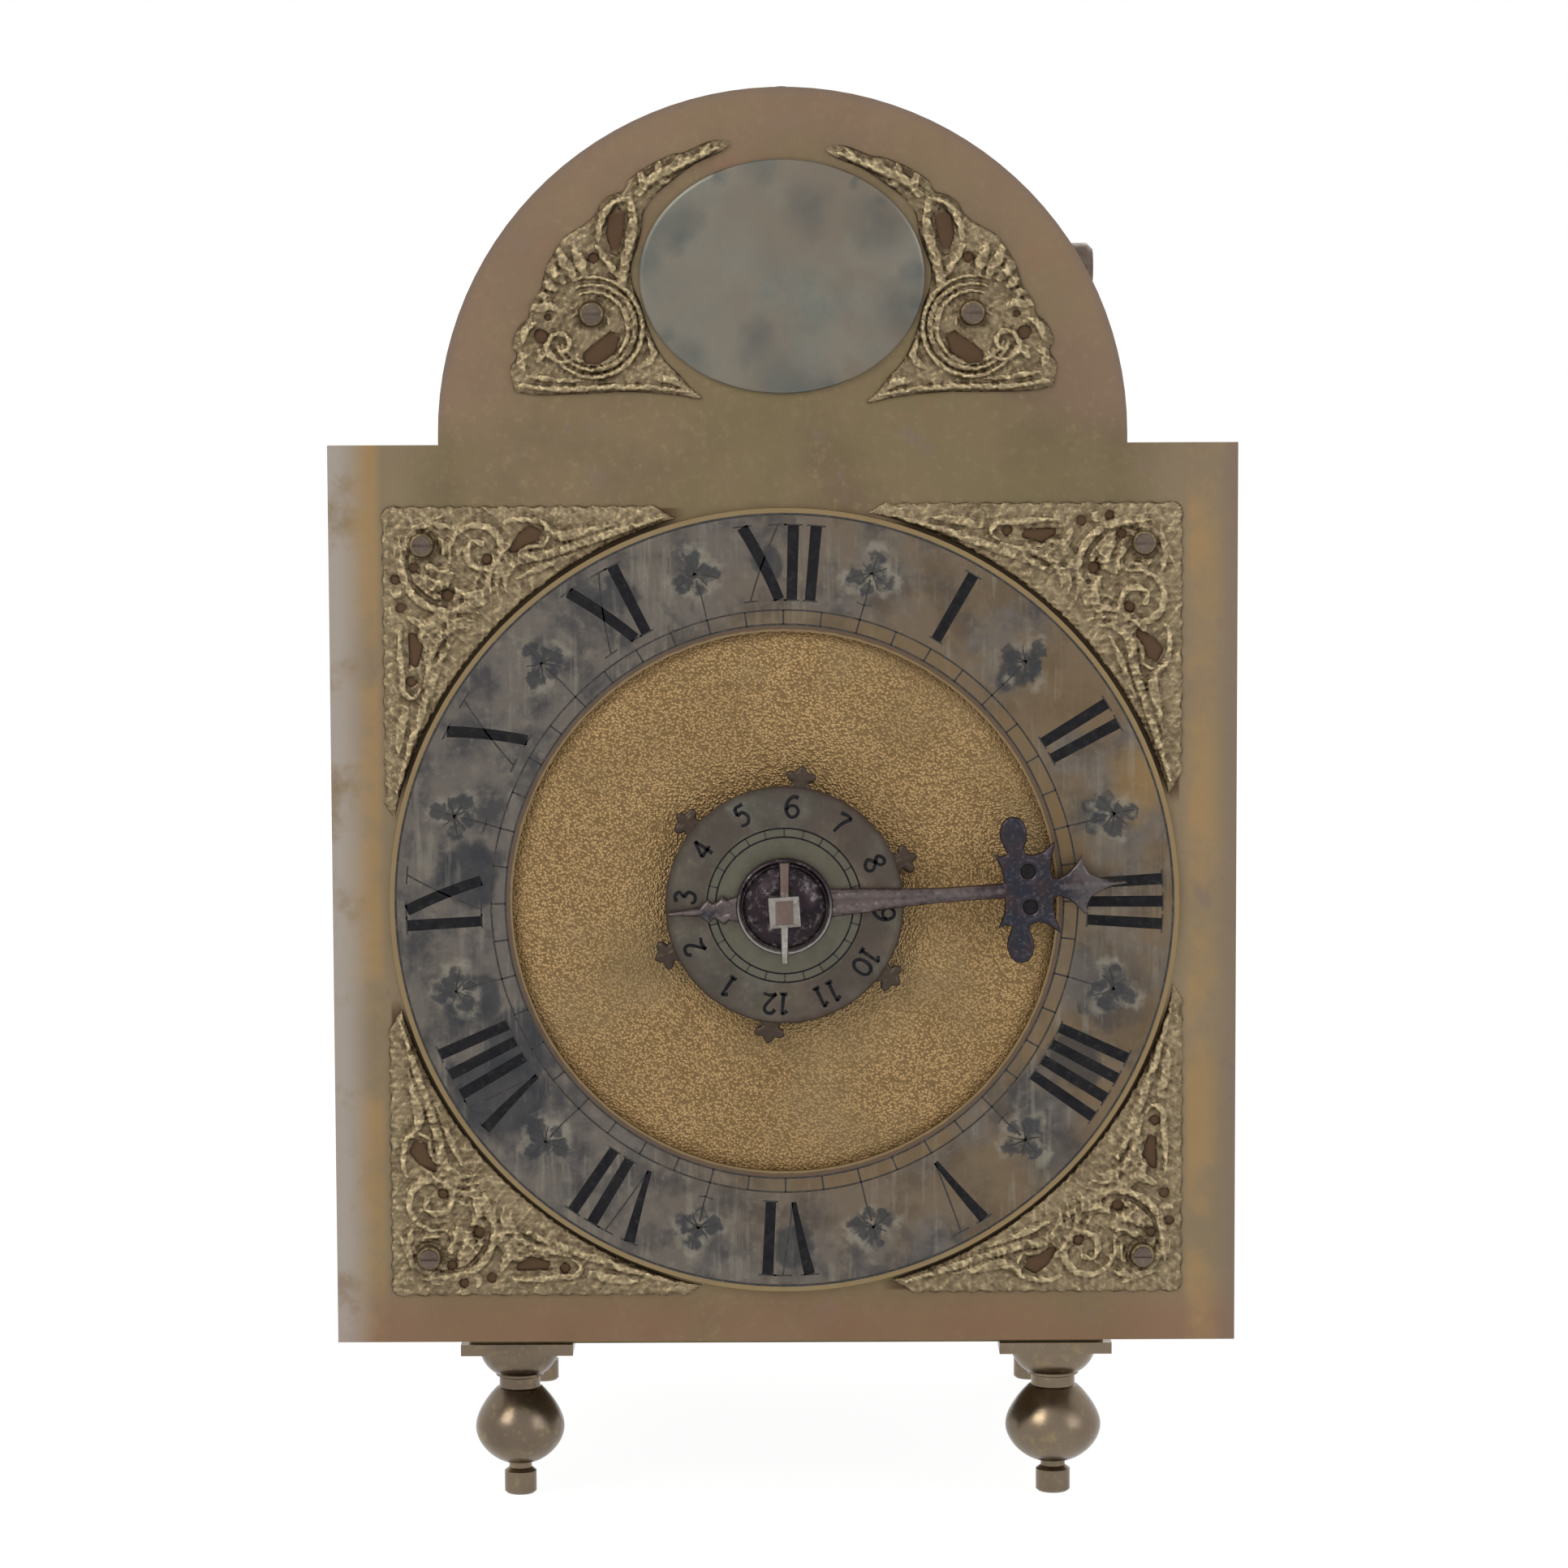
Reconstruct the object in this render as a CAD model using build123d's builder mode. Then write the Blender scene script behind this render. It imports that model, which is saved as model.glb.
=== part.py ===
"""Arched-dial lantern alarm timepiece: posted brass movement, verge escapement with a bob pendulum.

The row stands on its four feet: Z is up from the foot tips, the dial faces -Y and the wall is at +Y.
The origin is on the floor below the middle of the frame. All sizes are in millimetres.
"""

from build123d import *

import math
import os

os.makedirs("parts", exist_ok=True)

# ---------------------------------------------------------------- driving dimensions
# Feet and posted frame
post_spacing = 100.0          # between post axes, both ways
plate_size = 118.0            # square top and bottom plates
plate_thickness = 2.5
bottom_plate_z = 30.2         # underside of the bottom plate, which rests on the feet
top_plate_z = 168.5           # underside of the top plate
tenon_radius = 2.5            # posts are shouldered down to this through the plates
foot_flange = 20.8            # square flange of a foot
foot_flange_thickness = 2.1
foot_socket_depth = 6.0

# Dial
dial_width = 165.0
dial_bottom_z = 32.4
dial_face_y = -68.0           # front of the dial plate
dial_thickness = 1.8
arch_radius = 62.4
arch_rise = 1.8               # straight part between the square and the round of the arch
hour_z = 113.9                # height of the hand's axis
ring_outer, ring_inner, ring_thickness = 72.0, 49.65, 1.5
cartouche_half = (25.8, 21.1)
cartouche_z = 227.6
cartouche_thickness = 1.2
spandrel_thickness = 2.2
spandrel_outer = 73.0         # the corner castings end this far left, right, up and down from the hand
spandrel_near = 17.5          # and their tails end this far from its two axes
screw_radius, screw_head_radius, screw_head_height = 1.0, 1.7, 0.9

# Hand, alarm disc and their arbor
hour_arbor_radius = 3.9
hour_square = 5.5
square_start_y, square_end_y = -73.8, -84.5
disc_radius, disc_thickness, disc_back_y = 21.7, 1.5, -72.0
pipe_outer, pipe_bore = 5.6, 3.98
hand_back_y, hand_thickness, boss_radius, boss_height = -74.0, 1.6, 8.8, 4.4
hand_angle = 3.8              # the hand points to the right and a little up: ten to three
hand_pin_y = -79.8

# Going train: module, teeth, and where it stands
great_module, great_teeth, leaves = 0.9, 72, 6
contrate_module, contrate_teeth = 0.6, 72
report_module, hour_teeth = 0.75, 72
report_distance = report_module * (hour_teeth + leaves) / 2
train_distance = great_module * (great_teeth + leaves) / 2
great_z = hour_z - report_distance
contrate_z = great_z + train_distance
contrate_radius = contrate_module * contrate_teeth / 2
crown_pinion_radius = contrate_module * leaves / 2
front_bar_y, middle_bar_y, bar_thickness = -50.0, -3.0, 3.0    # rear faces of the two iron bars
bar_half_width = 15.0
great_wheel_y, great_wheel_thickness = -41.6, 2.4              # rear face and thickness
report_y, report_length = -55.0, 5.5
hour_wheel_y, hour_wheel_thickness = -57.0, 2.0
contrate_tip_y = -14.5
crown_y = contrate_tip_y - contrate_module + crown_pinion_radius
crown_tip_z, crown_radius, crown_teeth = 184.0, 16.5, 33
verge_z, verge_radius, pallet_reach = 187.8, 1.1, 3.9
rod_y, bob_z, bob_radius, bob_height = 70.5, 46.0, 9.5, 24.0

# Alarm work, on a stud in the back plate
alarm_x, alarm_z = 27.0, 128.0
alarm_tip_y, alarm_radius, alarm_teeth = 28.3, 16.0, 15
alarm_verge_y, alarm_verge_radius, alarm_verge_top = 24.5, 1.6, 202.0
lever_x, lever_z, lever_radius = 9.0, 150.0, 1.2
hammer_x, hammer_y, hammer_z, hammer_arm_z = 56.0, 0.0, 228.4, 198.0

# Back plate, hanging irons, doors and bell
back_plate_y, back_plate_thickness, back_plate_half = 58.5, 2.0, 54.0   # rear face
spur_z, spur_radius, spur_tip_y = 44.0, 2.2, 86.0
hoop_half, hoop_bar, hoop_thickness, hoop_height = 20.0, 6.0, 3.5, 62.0
hoop_lean = 23.0              # degrees backwards from upright
door_x, door_thickness = 57.0, 1.2
door_rod_y, door_rod_radius = 54.8, 1.2
bell_mouth_z, bell_radius, bell_crown_z = 217.0, 50.0, 250.0
strap_radius, strap_centre_z, strap_width, strap_thickness = 60.0, 194.5, 7.0, 1.6
running = 0.05                # radial clearance of every pivot and arbor in its hole

# Worked out
plate_top = bottom_plate_z + plate_thickness
top_of_frame = top_plate_z + plate_thickness
post_height = top_plate_z - plate_top
post = post_spacing / 2
dial_back_y = dial_face_y + dial_thickness
dial_top_z = dial_bottom_z + dial_width
arch_z = dial_top_z + arch_rise
SIDES = (("left", -1), ("right", 1))
ENDS = (("front", -1), ("rear", 1))


def keep(builder, node):
    """Label a finished piece and write it to a file of its own."""
    builder.part.label = node
    export_step(builder.part, f"parts/{node}.step")


def facing_front(y, x=0.0, z=0.0):
    """A sketch plane that looks towards the viewer, with its own X along X and its own Y up."""
    return Plane(origin=(x, y, z), x_dir=(1, 0, 0), z_dir=(0, -1, 0))


def standing(x=0.0, y=0.0):
    """A sketch plane for the half section of an upright turned piece: radius along X, height along Z."""
    return Plane(origin=(x, y, 0), x_dir=(1, 0, 0), z_dir=(0, -1, 0))


def lying(x=0.0, z=0.0):
    """A sketch plane for the half section of a piece turned about Y: radius along X, length along Y."""
    return Plane(origin=(x, 0, z), x_dir=(1, 0, 0), z_dir=(0, 0, 1))


def stepped(steps):
    """The half section of a stepped arbor, from steps of (start, end, radius)."""
    outline = [(0, steps[0][0])]
    for start, end, radius in steps:
        outline += [(radius, start), (radius, end)]
    outline.append((0, steps[-1][1]))
    return outline


def domed_tip(radius, height):
    """Close the caller's turned outline with a dome that has a tiny flat on top, and return its height."""
    dome = CenterArc((0, height), radius, 0, 85)
    Line(dome @ 1, (0, (dome @ 1).Y))
    return (dome @ 1).Y


def polar(radius, degrees):
    """A flat point at a radius and an angle."""
    return (radius * math.cos(math.radians(degrees)), radius * math.sin(math.radians(degrees)))


def wheel_teeth(module, teeth):
    """Outline of a clock wheel: radial flanks below the pitch circle and pointed, curved tips above it."""
    pitch = module * teeth / 2
    half = math.degrees(0.70 * module / pitch)
    profile = ((pitch - 1.4 * module, -half), (pitch, -half), (pitch + 0.62 * module, -half * 0.72))
    profile += ((pitch + 1.1 * module, -half * 0.2), (pitch + 1.1 * module, half * 0.2))
    profile += ((pitch + 0.62 * module, half * 0.72), (pitch, half), (pitch - 1.4 * module, half))
    step = 360 / teeth
    return [polar(radius, angle + n * step) for n in range(teeth) for radius, angle in profile]


def pinion_leaves(module):
    """Outline of a six-leaved pinion: radial flanks and rounded ends."""
    pitch = module * leaves / 2
    half = math.degrees(0.50 * module / pitch)
    profile = ((pitch - 1.45 * module, -half), (pitch, -half), (pitch + 0.36 * module, -half * 0.62))
    profile += ((pitch + 0.5 * module, 0), (pitch + 0.36 * module, half * 0.62))
    profile += ((pitch, half), (pitch - 1.45 * module, half))
    step = 360 / leaves
    return [polar(radius, angle + n * step) for n in range(leaves) for radius, angle in profile]


def crossed_wheel(y, thickness, outline, rim_inner, hub_radius, bore, spoke, x=0.0, z=0.0):
    """A flat wheel facing front with four spokes, built inside the caller's part."""
    with BuildSketch(facing_front(y, x, z)) as wheel:
        if outline:
            with BuildLine():
                Polyline(*outline, close=True)
            make_face()
        else:
            Circle(rim_inner + 3)
        with BuildSketch(mode=Mode.SUBTRACT):
            Circle(rim_inner)
            Circle(hub_radius, mode=Mode.SUBTRACT)
            with Locations((0, 0)):
                Rectangle(2 * rim_inner + 2, spoke, mode=Mode.SUBTRACT)
                Rectangle(spoke, 2 * rim_inner + 2, mode=Mode.SUBTRACT)
        Circle(bore, mode=Mode.SUBTRACT)
    extrude(wheel.sketch, amount=thickness)


def link(y_rear, thickness, start, end, start_radius, end_radius):
    """A flat tapering arm between two points of (X, Z), inside the caller's part."""
    with BuildSketch(facing_front(y_rear)) as arm:
        with Locations(start):
            Circle(start_radius)
        with Locations(end):
            Circle(end_radius)
        make_hull()
    extrude(arm.sketch, amount=thickness)


# ---------------------------------------------------------------- feet, posts and plates
def turned_foot(x, y, girth):
    """An onion foot under a square flange; girth widens it as hand turning does."""
    flange_z = bottom_plate_z - foot_flange_thickness
    with BuildPart() as foot:
        with BuildSketch(standing(x, y)):
            with BuildLine():
                Polyline((0, 0), (2.7 * girth, 0), (3.1 * girth, 0.4), (3.1 * girth, 4.2))
                Polyline((3.1 * girth, 4.2), (2.2 * girth, 4.9), (2.2 * girth, 5.9))
                Spline(
                    (2.2 * girth, 5.9),
                    (6.2 * girth, 7.9),
                    (8.6 * girth, 12.4),
                    (7.3 * girth, 16.6),
                    (4.5 * girth, 20.1),
                )
                Polyline((4.5 * girth, 20.1), (3.95 * girth, 20.3), (3.95 * girth, 22.2))
                Polyline((3.95 * girth, 22.2), (4.6 * girth, 22.5), (4.6 * girth, 22.9))
                Line((4.6 * girth, 22.9), (5.0 * girth, 23.1))
                ThreePointArc((5.0 * girth, 23.1), (7.0 * girth, 25.2), (7.8 * girth, flange_z))
                Polyline((7.8 * girth, flange_z), (0, flange_z), (0, 0))
            make_face()
        revolve(axis=Axis((x, y, 0), (0, 0, 1)))
        with BuildSketch(Plane.XY.offset(flange_z)):
            with Locations((x, y)):
                Rectangle(foot_flange, foot_flange)
        extrude(amount=foot_flange_thickness)
        with BuildSketch(Plane.XY.offset(bottom_plate_z)):
            with Locations((x, y)):
                Circle(tenon_radius)
        extrude(amount=-foot_socket_depth, mode=Mode.SUBTRACT)
    return foot.part


def turned_pillar(x, y):
    """A column with a base and a capital, shouldered down to a tenon at each end."""
    low = bottom_plate_z - foot_socket_depth
    high = top_of_frame + strap_thickness + foot_socket_depth
    base, cap = plate_top, top_plate_z
    with BuildPart() as pillar:
        with BuildSketch(standing(x, y)):
            with BuildLine():
                Polyline((0, low), (tenon_radius, low), (tenon_radius, base), (6.2, base))
                Polyline((6.2, base), (6.2, base + 2.2), (5.2, base + 2.8))
                ThreePointArc((5.2, base + 2.8), (4.75, base + 4.0), (5.2, base + 5.2))
                Polyline((5.2, base + 5.2), (5.6, base + 5.5), (5.6, base + 6.6), (4.5, base + 7.6))
                Polyline((4.5, base + 7.6), (4.45, base + 50), (3.8, cap - 11))
                Polyline((3.8, cap - 11), (4.7, cap - 10.4), (4.7, cap - 9.2), (3.9, cap - 8.6))
                Polyline((3.9, cap - 8.6), (3.9, cap - 6.0))
                ThreePointArc((3.9, cap - 6.0), (5.3, cap - 4.4), (5.8, cap - 2.4))
                Polyline((5.8, cap - 2.4), (6.2, cap - 2.2), (6.2, cap), (tenon_radius, cap))
                Polyline((tenon_radius, cap), (tenon_radius, high), (0, high), (0, low))
            make_face()
        revolve(axis=Axis((x, y, 0), (0, 0, 1)))
        drills = dial_foot_heights if y < 0 else screw_heights
        drill = dial_foot_pin_radius if y < 0 else back_screw_radius
        with BuildSketch(facing_front(y)) as holes:
            with Locations(*[(x, height) for height in drills]):
                Circle(drill)
        if y < 0:
            extrude(holes.sketch, amount=8, both=True, mode=Mode.SUBTRACT)
        else:
            extrude(holes.sketch, amount=-8, mode=Mode.SUBTRACT)
    return pillar.part


def turned_finial(x, y):
    """A vase finial that nuts a pillar's tenon down on the bell strap."""
    base = top_of_frame + strap_thickness
    top = base + foot_socket_depth
    tip, tip_z = 0.9, base + 16.4
    with BuildPart() as finial:
        with BuildSketch(standing(x, y)):
            with BuildLine():
                Polyline((0, top), (tenon_radius, top), (tenon_radius, base), (5.0, base))
                Polyline((5.0, base), (5.0, base + 1.4), (3.5, base + 2.2))
                ThreePointArc((3.5, base + 2.2), (5.2, base + 5.6), (3.4, base + 9.2))
                Polyline((3.4, base + 9.2), (2.0, base + 10.2), (2.4, base + 11.2))
                ThreePointArc((2.4, base + 11.2), (2.9, base + 13.0), (1.7, base + 14.9))
                Line((1.7, base + 14.9), (tip, tip_z))
                Line((0, domed_tip(tip, tip_z)), (0, top))
            make_face()
        revolve(axis=Axis((x, y, 0), (0, 0, 1)))
    return finial.part


dial_foot_heights = (50.0, 150.0)
dial_foot_radius, dial_foot_pin_radius = 2.4, 1.6
screw_heights = (62.0, 152.0)
back_screw_radius = 1.5
foot_girth = {("front", -1): 0.965, ("front", 1): 1.035, ("rear", -1): 1.0, ("rear", 1): 1.02}

for end, depth in ENDS:
    pillars, feet = [], []
    for side, across in SIDES:
        pillars.append(turned_pillar(across * post, depth * post))
        feet.append(turned_foot(across * post, depth * post, foot_girth[end, across]))
    with BuildPart() as pair:
        add(pillars)
    keep(pair, f"{end}_pillars")
    with BuildPart() as pair:
        add(feet)
    keep(pair, f"{end}_feet")

finial_set = [turned_finial(across * post, depth * post) for _, depth in ENDS for _, across in SIDES]
with BuildPart() as finials:
    add(finial_set)
keep(finials, "finials")

bar_tenon = 16.0
bar_ys = (front_bar_y - bar_thickness / 2, middle_bar_y - bar_thickness / 2)


def frame_plate(z):
    """A square movement plate with the holes that both plates share, inside the caller's part."""
    with BuildSketch(Plane.XY.offset(z)) as plate:
        RectangleRounded(plate_size, plate_size, 2)
        with GridLocations(post_spacing, post_spacing, 2, 2):
            Circle(tenon_radius, mode=Mode.SUBTRACT)
        with Locations(*[(0, y) for y in bar_ys]):
            Rectangle(bar_tenon, bar_thickness, mode=Mode.SUBTRACT)
        with Locations((door_x, door_rod_y), (-door_x, door_rod_y)):
            Circle(door_rod_radius + running, mode=Mode.SUBTRACT)
    extrude(plate.sketch, amount=plate_thickness)


with BuildPart() as bottom_plate:
    frame_plate(bottom_plate_z)
keep(bottom_plate, "bottom_plate")

with BuildPart() as top_plate:
    frame_plate(top_plate_z)
    with BuildSketch(Plane.XY.offset(top_plate_z)):
        with Locations((0, crown_y)):
            Circle(6)
        with Locations((alarm_x, alarm_verge_y)):
            Circle(alarm_verge_radius + running)
    extrude(amount=plate_thickness, mode=Mode.SUBTRACT)
keep(top_plate, "top_plate")

# ---------------------------------------------------------------- upright bars and the back plate
great_pivot, contrate_pivot, crown_pivot, hour_pivot = (2.7, 1.6), 1.0, 0.8, 1.8


def upright_bar(y, holes):
    """An iron movement bar tenoned through both plates, with round holes of (x, z, radius)."""
    with BuildSketch(facing_front(y)) as bar:
        with Locations((0, (plate_top + top_plate_z) / 2)):
            Rectangle(2 * bar_half_width, post_height)
            Rectangle(bar_tenon, post_height + 2 * plate_thickness)
        for x, z, radius in holes:
            with Locations((x, z)):
                Circle(radius, mode=Mode.SUBTRACT)
    extrude(bar.sketch, amount=bar_thickness)


with BuildPart() as front_bar:
    upright_bar(
        front_bar_y,
        (
            (0, great_z, great_pivot[0] + running),
            (0, contrate_z, contrate_pivot + running),
            (0, hour_z, hour_pivot + running),
            (lever_x, lever_z, lever_radius + running),
        ),
    )
keep(front_bar, "front_bar")

with BuildPart() as middle_bar:
    upright_bar(
        middle_bar_y,
        (
            (0, great_z, great_pivot[1] + running),
            (0, contrate_z, contrate_pivot + running),
            (lever_x, lever_z, lever_radius + 0.4),
        ),
    )
keep(middle_bar, "middle_bar")

stud_radius, lever_pivot = 2.0, 0.9
with BuildPart() as back_plate:
    with BuildSketch(facing_front(back_plate_y)):
        with Locations((0, (plate_top + top_plate_z) / 2)):
            Rectangle(2 * back_plate_half, post_height - 0.4)
        with Locations(*[(s * post, z) for _, s in SIDES for z in screw_heights]):
            Circle(back_screw_radius, mode=Mode.SUBTRACT)
        with Locations(*[(s * post, spur_z) for _, s in SIDES]):
            Circle(spur_radius, mode=Mode.SUBTRACT)
        with Locations((alarm_x, alarm_z)):
            Circle(stud_radius, mode=Mode.SUBTRACT)
        with Locations((lever_x, lever_z)):
            Circle(lever_pivot + running, mode=Mode.SUBTRACT)
    extrude(amount=back_plate_thickness)
keep(back_plate, "back_plate")

with BuildPart() as back_plate_screws:
    for side, across in SIDES:
        for height in screw_heights:
            steps = ((post, back_plate_y, back_screw_radius), (back_plate_y, back_plate_y + 1.6, 3.0))
            with BuildSketch(lying(across * post, height)):
                with BuildLine():
                    Polyline(*stepped(steps), close=True)
                make_face()
            revolve(axis=Axis((across * post, 0, height), (0, 1, 0)))
    with BuildSketch(facing_front(back_plate_y + 1.6)):
        with Locations(*[(s * post, z) for _, s in SIDES for z in screw_heights]):
            Rectangle(6.4, 0.7)
    extrude(amount=0.7, mode=Mode.SUBTRACT)
keep(back_plate_screws, "back_plate_screws")

with BuildPart() as spurs:
    for side, across in SIDES:
        with BuildSketch(lying(across * post, spur_z)):
            with BuildLine():
                Polyline(
                    (0, back_plate_y - back_plate_thickness),
                    (spur_radius, back_plate_y - back_plate_thickness),
                    (spur_radius, back_plate_y),
                    (4.6, back_plate_y),
                    (4.6, back_plate_y + 1.6),
                    (spur_radius, back_plate_y + 2.4),
                    (spur_radius, spur_tip_y - 8),
                    (0.4, spur_tip_y),
                    (0, spur_tip_y),
                    close=True,
                )
            make_face()
        revolve(axis=Axis((across * post, 0, spur_z), (0, 1, 0)))
keep(spurs, "spurs")

hoop_foot_y = 53.0
lean = math.radians(hoop_lean)
with BuildPart() as hanging_hoop:
    hoop_plane = Plane(
        origin=(0, hoop_foot_y, top_of_frame),
        x_dir=(1, 0, 0),
        z_dir=(0, -math.cos(lean), math.sin(lean)),
    )
    outer, inner = hoop_half + hoop_bar / 2, hoop_half - hoop_bar / 2
    crown = hoop_height - outer
    with BuildSketch(hoop_plane) as loop:
        with Locations((0, crown)):
            Circle(outer)
        with Locations((0, crown / 2 - 2)):
            Rectangle(2 * outer, crown + 4)
        with Locations((0, crown)):
            Circle(inner, mode=Mode.SUBTRACT)
        with Locations((0, crown / 2 - 2)):
            Rectangle(2 * inner, crown + 4, mode=Mode.SUBTRACT)
    extrude(loop.sketch, amount=hoop_thickness / 2, both=True)
    with BuildSketch(Plane.XY.offset(top_of_frame)):
        with Locations((hoop_half, hoop_foot_y - 5), (-hoop_half, hoop_foot_y - 5)):
            RectangleRounded(hoop_bar + 2, 18, 2)
    extrude(amount=3)
    split(bisect_by=Plane.XY.offset(top_of_frame), keep=Keep.TOP)
keep(hanging_hoop, "hanging_hoop")

# ---------------------------------------------------------------- bell and its straps
with BuildPart() as bell:
    with BuildSketch(standing()):
        with BuildLine():
            Line((bell_radius - 2.4, bell_mouth_z), (bell_radius, bell_mouth_z))
            ThreePointArc((bell_radius, bell_mouth_z), (46.4, 222.5), (44.0, 229.0))
            ThreePointArc((44.0, 229.0), (35.5, 239.6), (22.0, 247.6))
            Line((22.0, 247.6), (3.0, bell_crown_z))
            Line((3.0, bell_crown_z), (3.0, bell_crown_z - 2))
            Line((3.0, bell_crown_z - 2), (21.4, 245.7))
            ThreePointArc((21.4, 245.7), (34.2, 238.1), (42.1, 228.4))
            ThreePointArc((42.1, 228.4), (44.3, 222.2), (bell_radius - 2.4, bell_mouth_z))
        make_face()
    revolve(axis=Axis.Z)
keep(bell, "bell")


def bell_strap(turn, radius):
    """A strap over the bell from one corner of the top plate to the corner opposite."""
    inner, outer = radius - strap_thickness / 2, radius + strap_thickness / 2
    across = Vector(math.cos(math.radians(turn)), math.sin(math.radians(turn)), 0)
    normal = Vector(across.Y, -across.X, 0)
    seat, corner = top_of_frame, post * math.sqrt(2)
    with BuildPart() as strap:
        with BuildSketch(Plane(origin=(0, 0, 0), x_dir=across, z_dir=normal)) as shape:
            with Locations((0, strap_centre_z)):
                Circle(outer)
                Circle(inner, mode=Mode.SUBTRACT)
            with Locations((0, strap_centre_z - radius)):
                Rectangle(3 * radius, 2 * radius, mode=Mode.SUBTRACT)
            for _, s in SIDES:
                leg = ((inner, strap_centre_z), (outer, strap_centre_z), (65.0, seat), (63.3, seat))
                Polygon(*[(s * u, v) for u, v in leg], align=None)
                pad = ((63.3, seat), (76.0, seat), (76.0, seat + strap_thickness))
                pad += ((63.3, seat + strap_thickness),)
                Polygon(*[(s * u, v) for u, v in pad], align=None)
        extrude(shape.sketch, amount=strap_width / 2, both=True)
        with BuildSketch(Plane.XY.offset(seat)) as holes:
            with Locations(*[(s * corner * across.X, s * corner * across.Y) for _, s in SIDES]):
                Circle(tenon_radius)
            Circle(3.0)
        extrude(holes.sketch, amount=100, mode=Mode.SUBTRACT)
    return strap.part


lower_strap = bell_strap(45, strap_radius)
upper_strap = bell_strap(-45, strap_radius + strap_thickness + 0.2)
with BuildPart() as bell_straps:
    add(lower_strap)
    add(upper_strap)
keep(bell_straps, "bell_straps")

with BuildPart() as bell_bolt:
    crossing = strap_centre_z + strap_radius + 1.5 * strap_thickness + 0.2
    dome_z = crossing + 1.4
    with BuildSketch(standing()):
        with BuildLine():
            Polyline((0, 243), (5, 243), (5, bell_crown_z - 2.3), (3, bell_crown_z - 2.3))
            Polyline((3, bell_crown_z - 2.3), (3, bell_crown_z), (5, bell_crown_z), (5, 253.3))
            Polyline((5, 253.3), (3, 253.3), (3, crossing), (4.6, crossing), (4.6, dome_z))
            Line((0, domed_tip(4.6, dome_z)), (0, 243))
        make_face()
    revolve(axis=Axis.Z)
keep(bell_bolt, "bell_bolt")

# ---------------------------------------------------------------- dial
CORNERS = (
    ("top_left", -1, 1),
    ("top_right", 1, 1),
    ("bottom_left", -1, -1),
    ("bottom_right", 1, -1),
)
corner_screw = 65.5
arch_screw = (34.4, 221.0)
dial_foot_rivet = 1.5
screw_places = [(x * corner_screw, hour_z + z * corner_screw) for _, x, z in CORNERS]
screw_places += [(s * arch_screw[0], arch_screw[1]) for _, s in SIDES]
dial_foot_places = [(s * post, z) for _, s in SIDES for z in dial_foot_heights]

with BuildPart() as dial_plate:
    with BuildSketch(facing_front(dial_back_y)) as outline:
        with Locations((0, dial_bottom_z + dial_width / 2)):
            Rectangle(dial_width, dial_width)
        with Locations((0, dial_top_z + arch_rise / 2)):
            Rectangle(2 * arch_radius, arch_rise)
        with Locations((0, arch_z)):
            Circle(arch_radius)
        with Locations((0, hour_z)):
            Circle(pipe_outer + 0.3, mode=Mode.SUBTRACT)
        with Locations(*screw_places):
            Circle(screw_radius, mode=Mode.SUBTRACT)
        with Locations(*dial_foot_places):
            Circle(dial_foot_rivet, mode=Mode.SUBTRACT)
    extrude(amount=dial_thickness)
keep(dial_plate, "dial_plate")

with BuildPart() as chapter_ring:
    with BuildSketch(facing_front(dial_face_y, 0, hour_z)):
        Circle(ring_outer)
        Circle(ring_inner, mode=Mode.SUBTRACT)
    extrude(amount=ring_thickness)
keep(chapter_ring, "chapter_ring")

with BuildPart() as name_cartouche:
    with BuildSketch(facing_front(dial_face_y, 0, cartouche_z)):
        Ellipse(*cartouche_half)
    extrude(amount=cartouche_thickness)
    chamfer(name_cartouche.faces().sort_by(Axis.Y)[0].edges(), length=0.8, length2=1.8)
keep(name_cartouche, "name_cartouche")

for corner, across, up in CORNERS:
    with BuildPart() as spandrel:
        with BuildSketch(facing_front(dial_face_y, 0, hour_z)) as casting:
            mid = (spandrel_near + spandrel_outer) / 2
            with Locations((across * mid, up * mid)):
                Rectangle(spandrel_outer - spandrel_near, spandrel_outer - spandrel_near)
            Circle(ring_outer + 1.2, mode=Mode.SUBTRACT)
            with Locations((across * corner_screw, up * corner_screw)):
                Circle(screw_radius, mode=Mode.SUBTRACT)
            with Locations((across * 68.5, up * 55), (across * 55, up * 68.5)):
                Circle(1.4, mode=Mode.SUBTRACT)
        extrude(amount=spandrel_thickness)
    keep(spandrel, f"spandrel_{corner}")

arch_casting_radius, arch_casting_low, arch_casting_near = 54.0, 205.5, 9.5
for side, across in SIDES:
    with BuildPart() as arch_spandrel:
        with BuildSketch(facing_front(dial_face_y)) as casting:
            with Locations((0, arch_z)):
                Circle(arch_casting_radius)
            with Locations((0, arch_casting_low - 60)):
                Rectangle(150, 120, mode=Mode.SUBTRACT)
            with Locations((-across * 90 + across * arch_casting_near, arch_z)):
                Rectangle(180, 150, mode=Mode.SUBTRACT)
            with Locations((0, cartouche_z)):
                Ellipse(cartouche_half[0] + 0.8, cartouche_half[1] + 0.8, mode=Mode.SUBTRACT)
            with Locations((across * 9, arch_casting_low)):
                Circle(9, mode=Mode.SUBTRACT)
            with Locations((across * arch_screw[0], arch_screw[1])):
                Circle(screw_radius, mode=Mode.SUBTRACT)
        extrude(amount=spandrel_thickness)
    keep(arch_spandrel, f"arch_spandrel_{side}")

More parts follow.
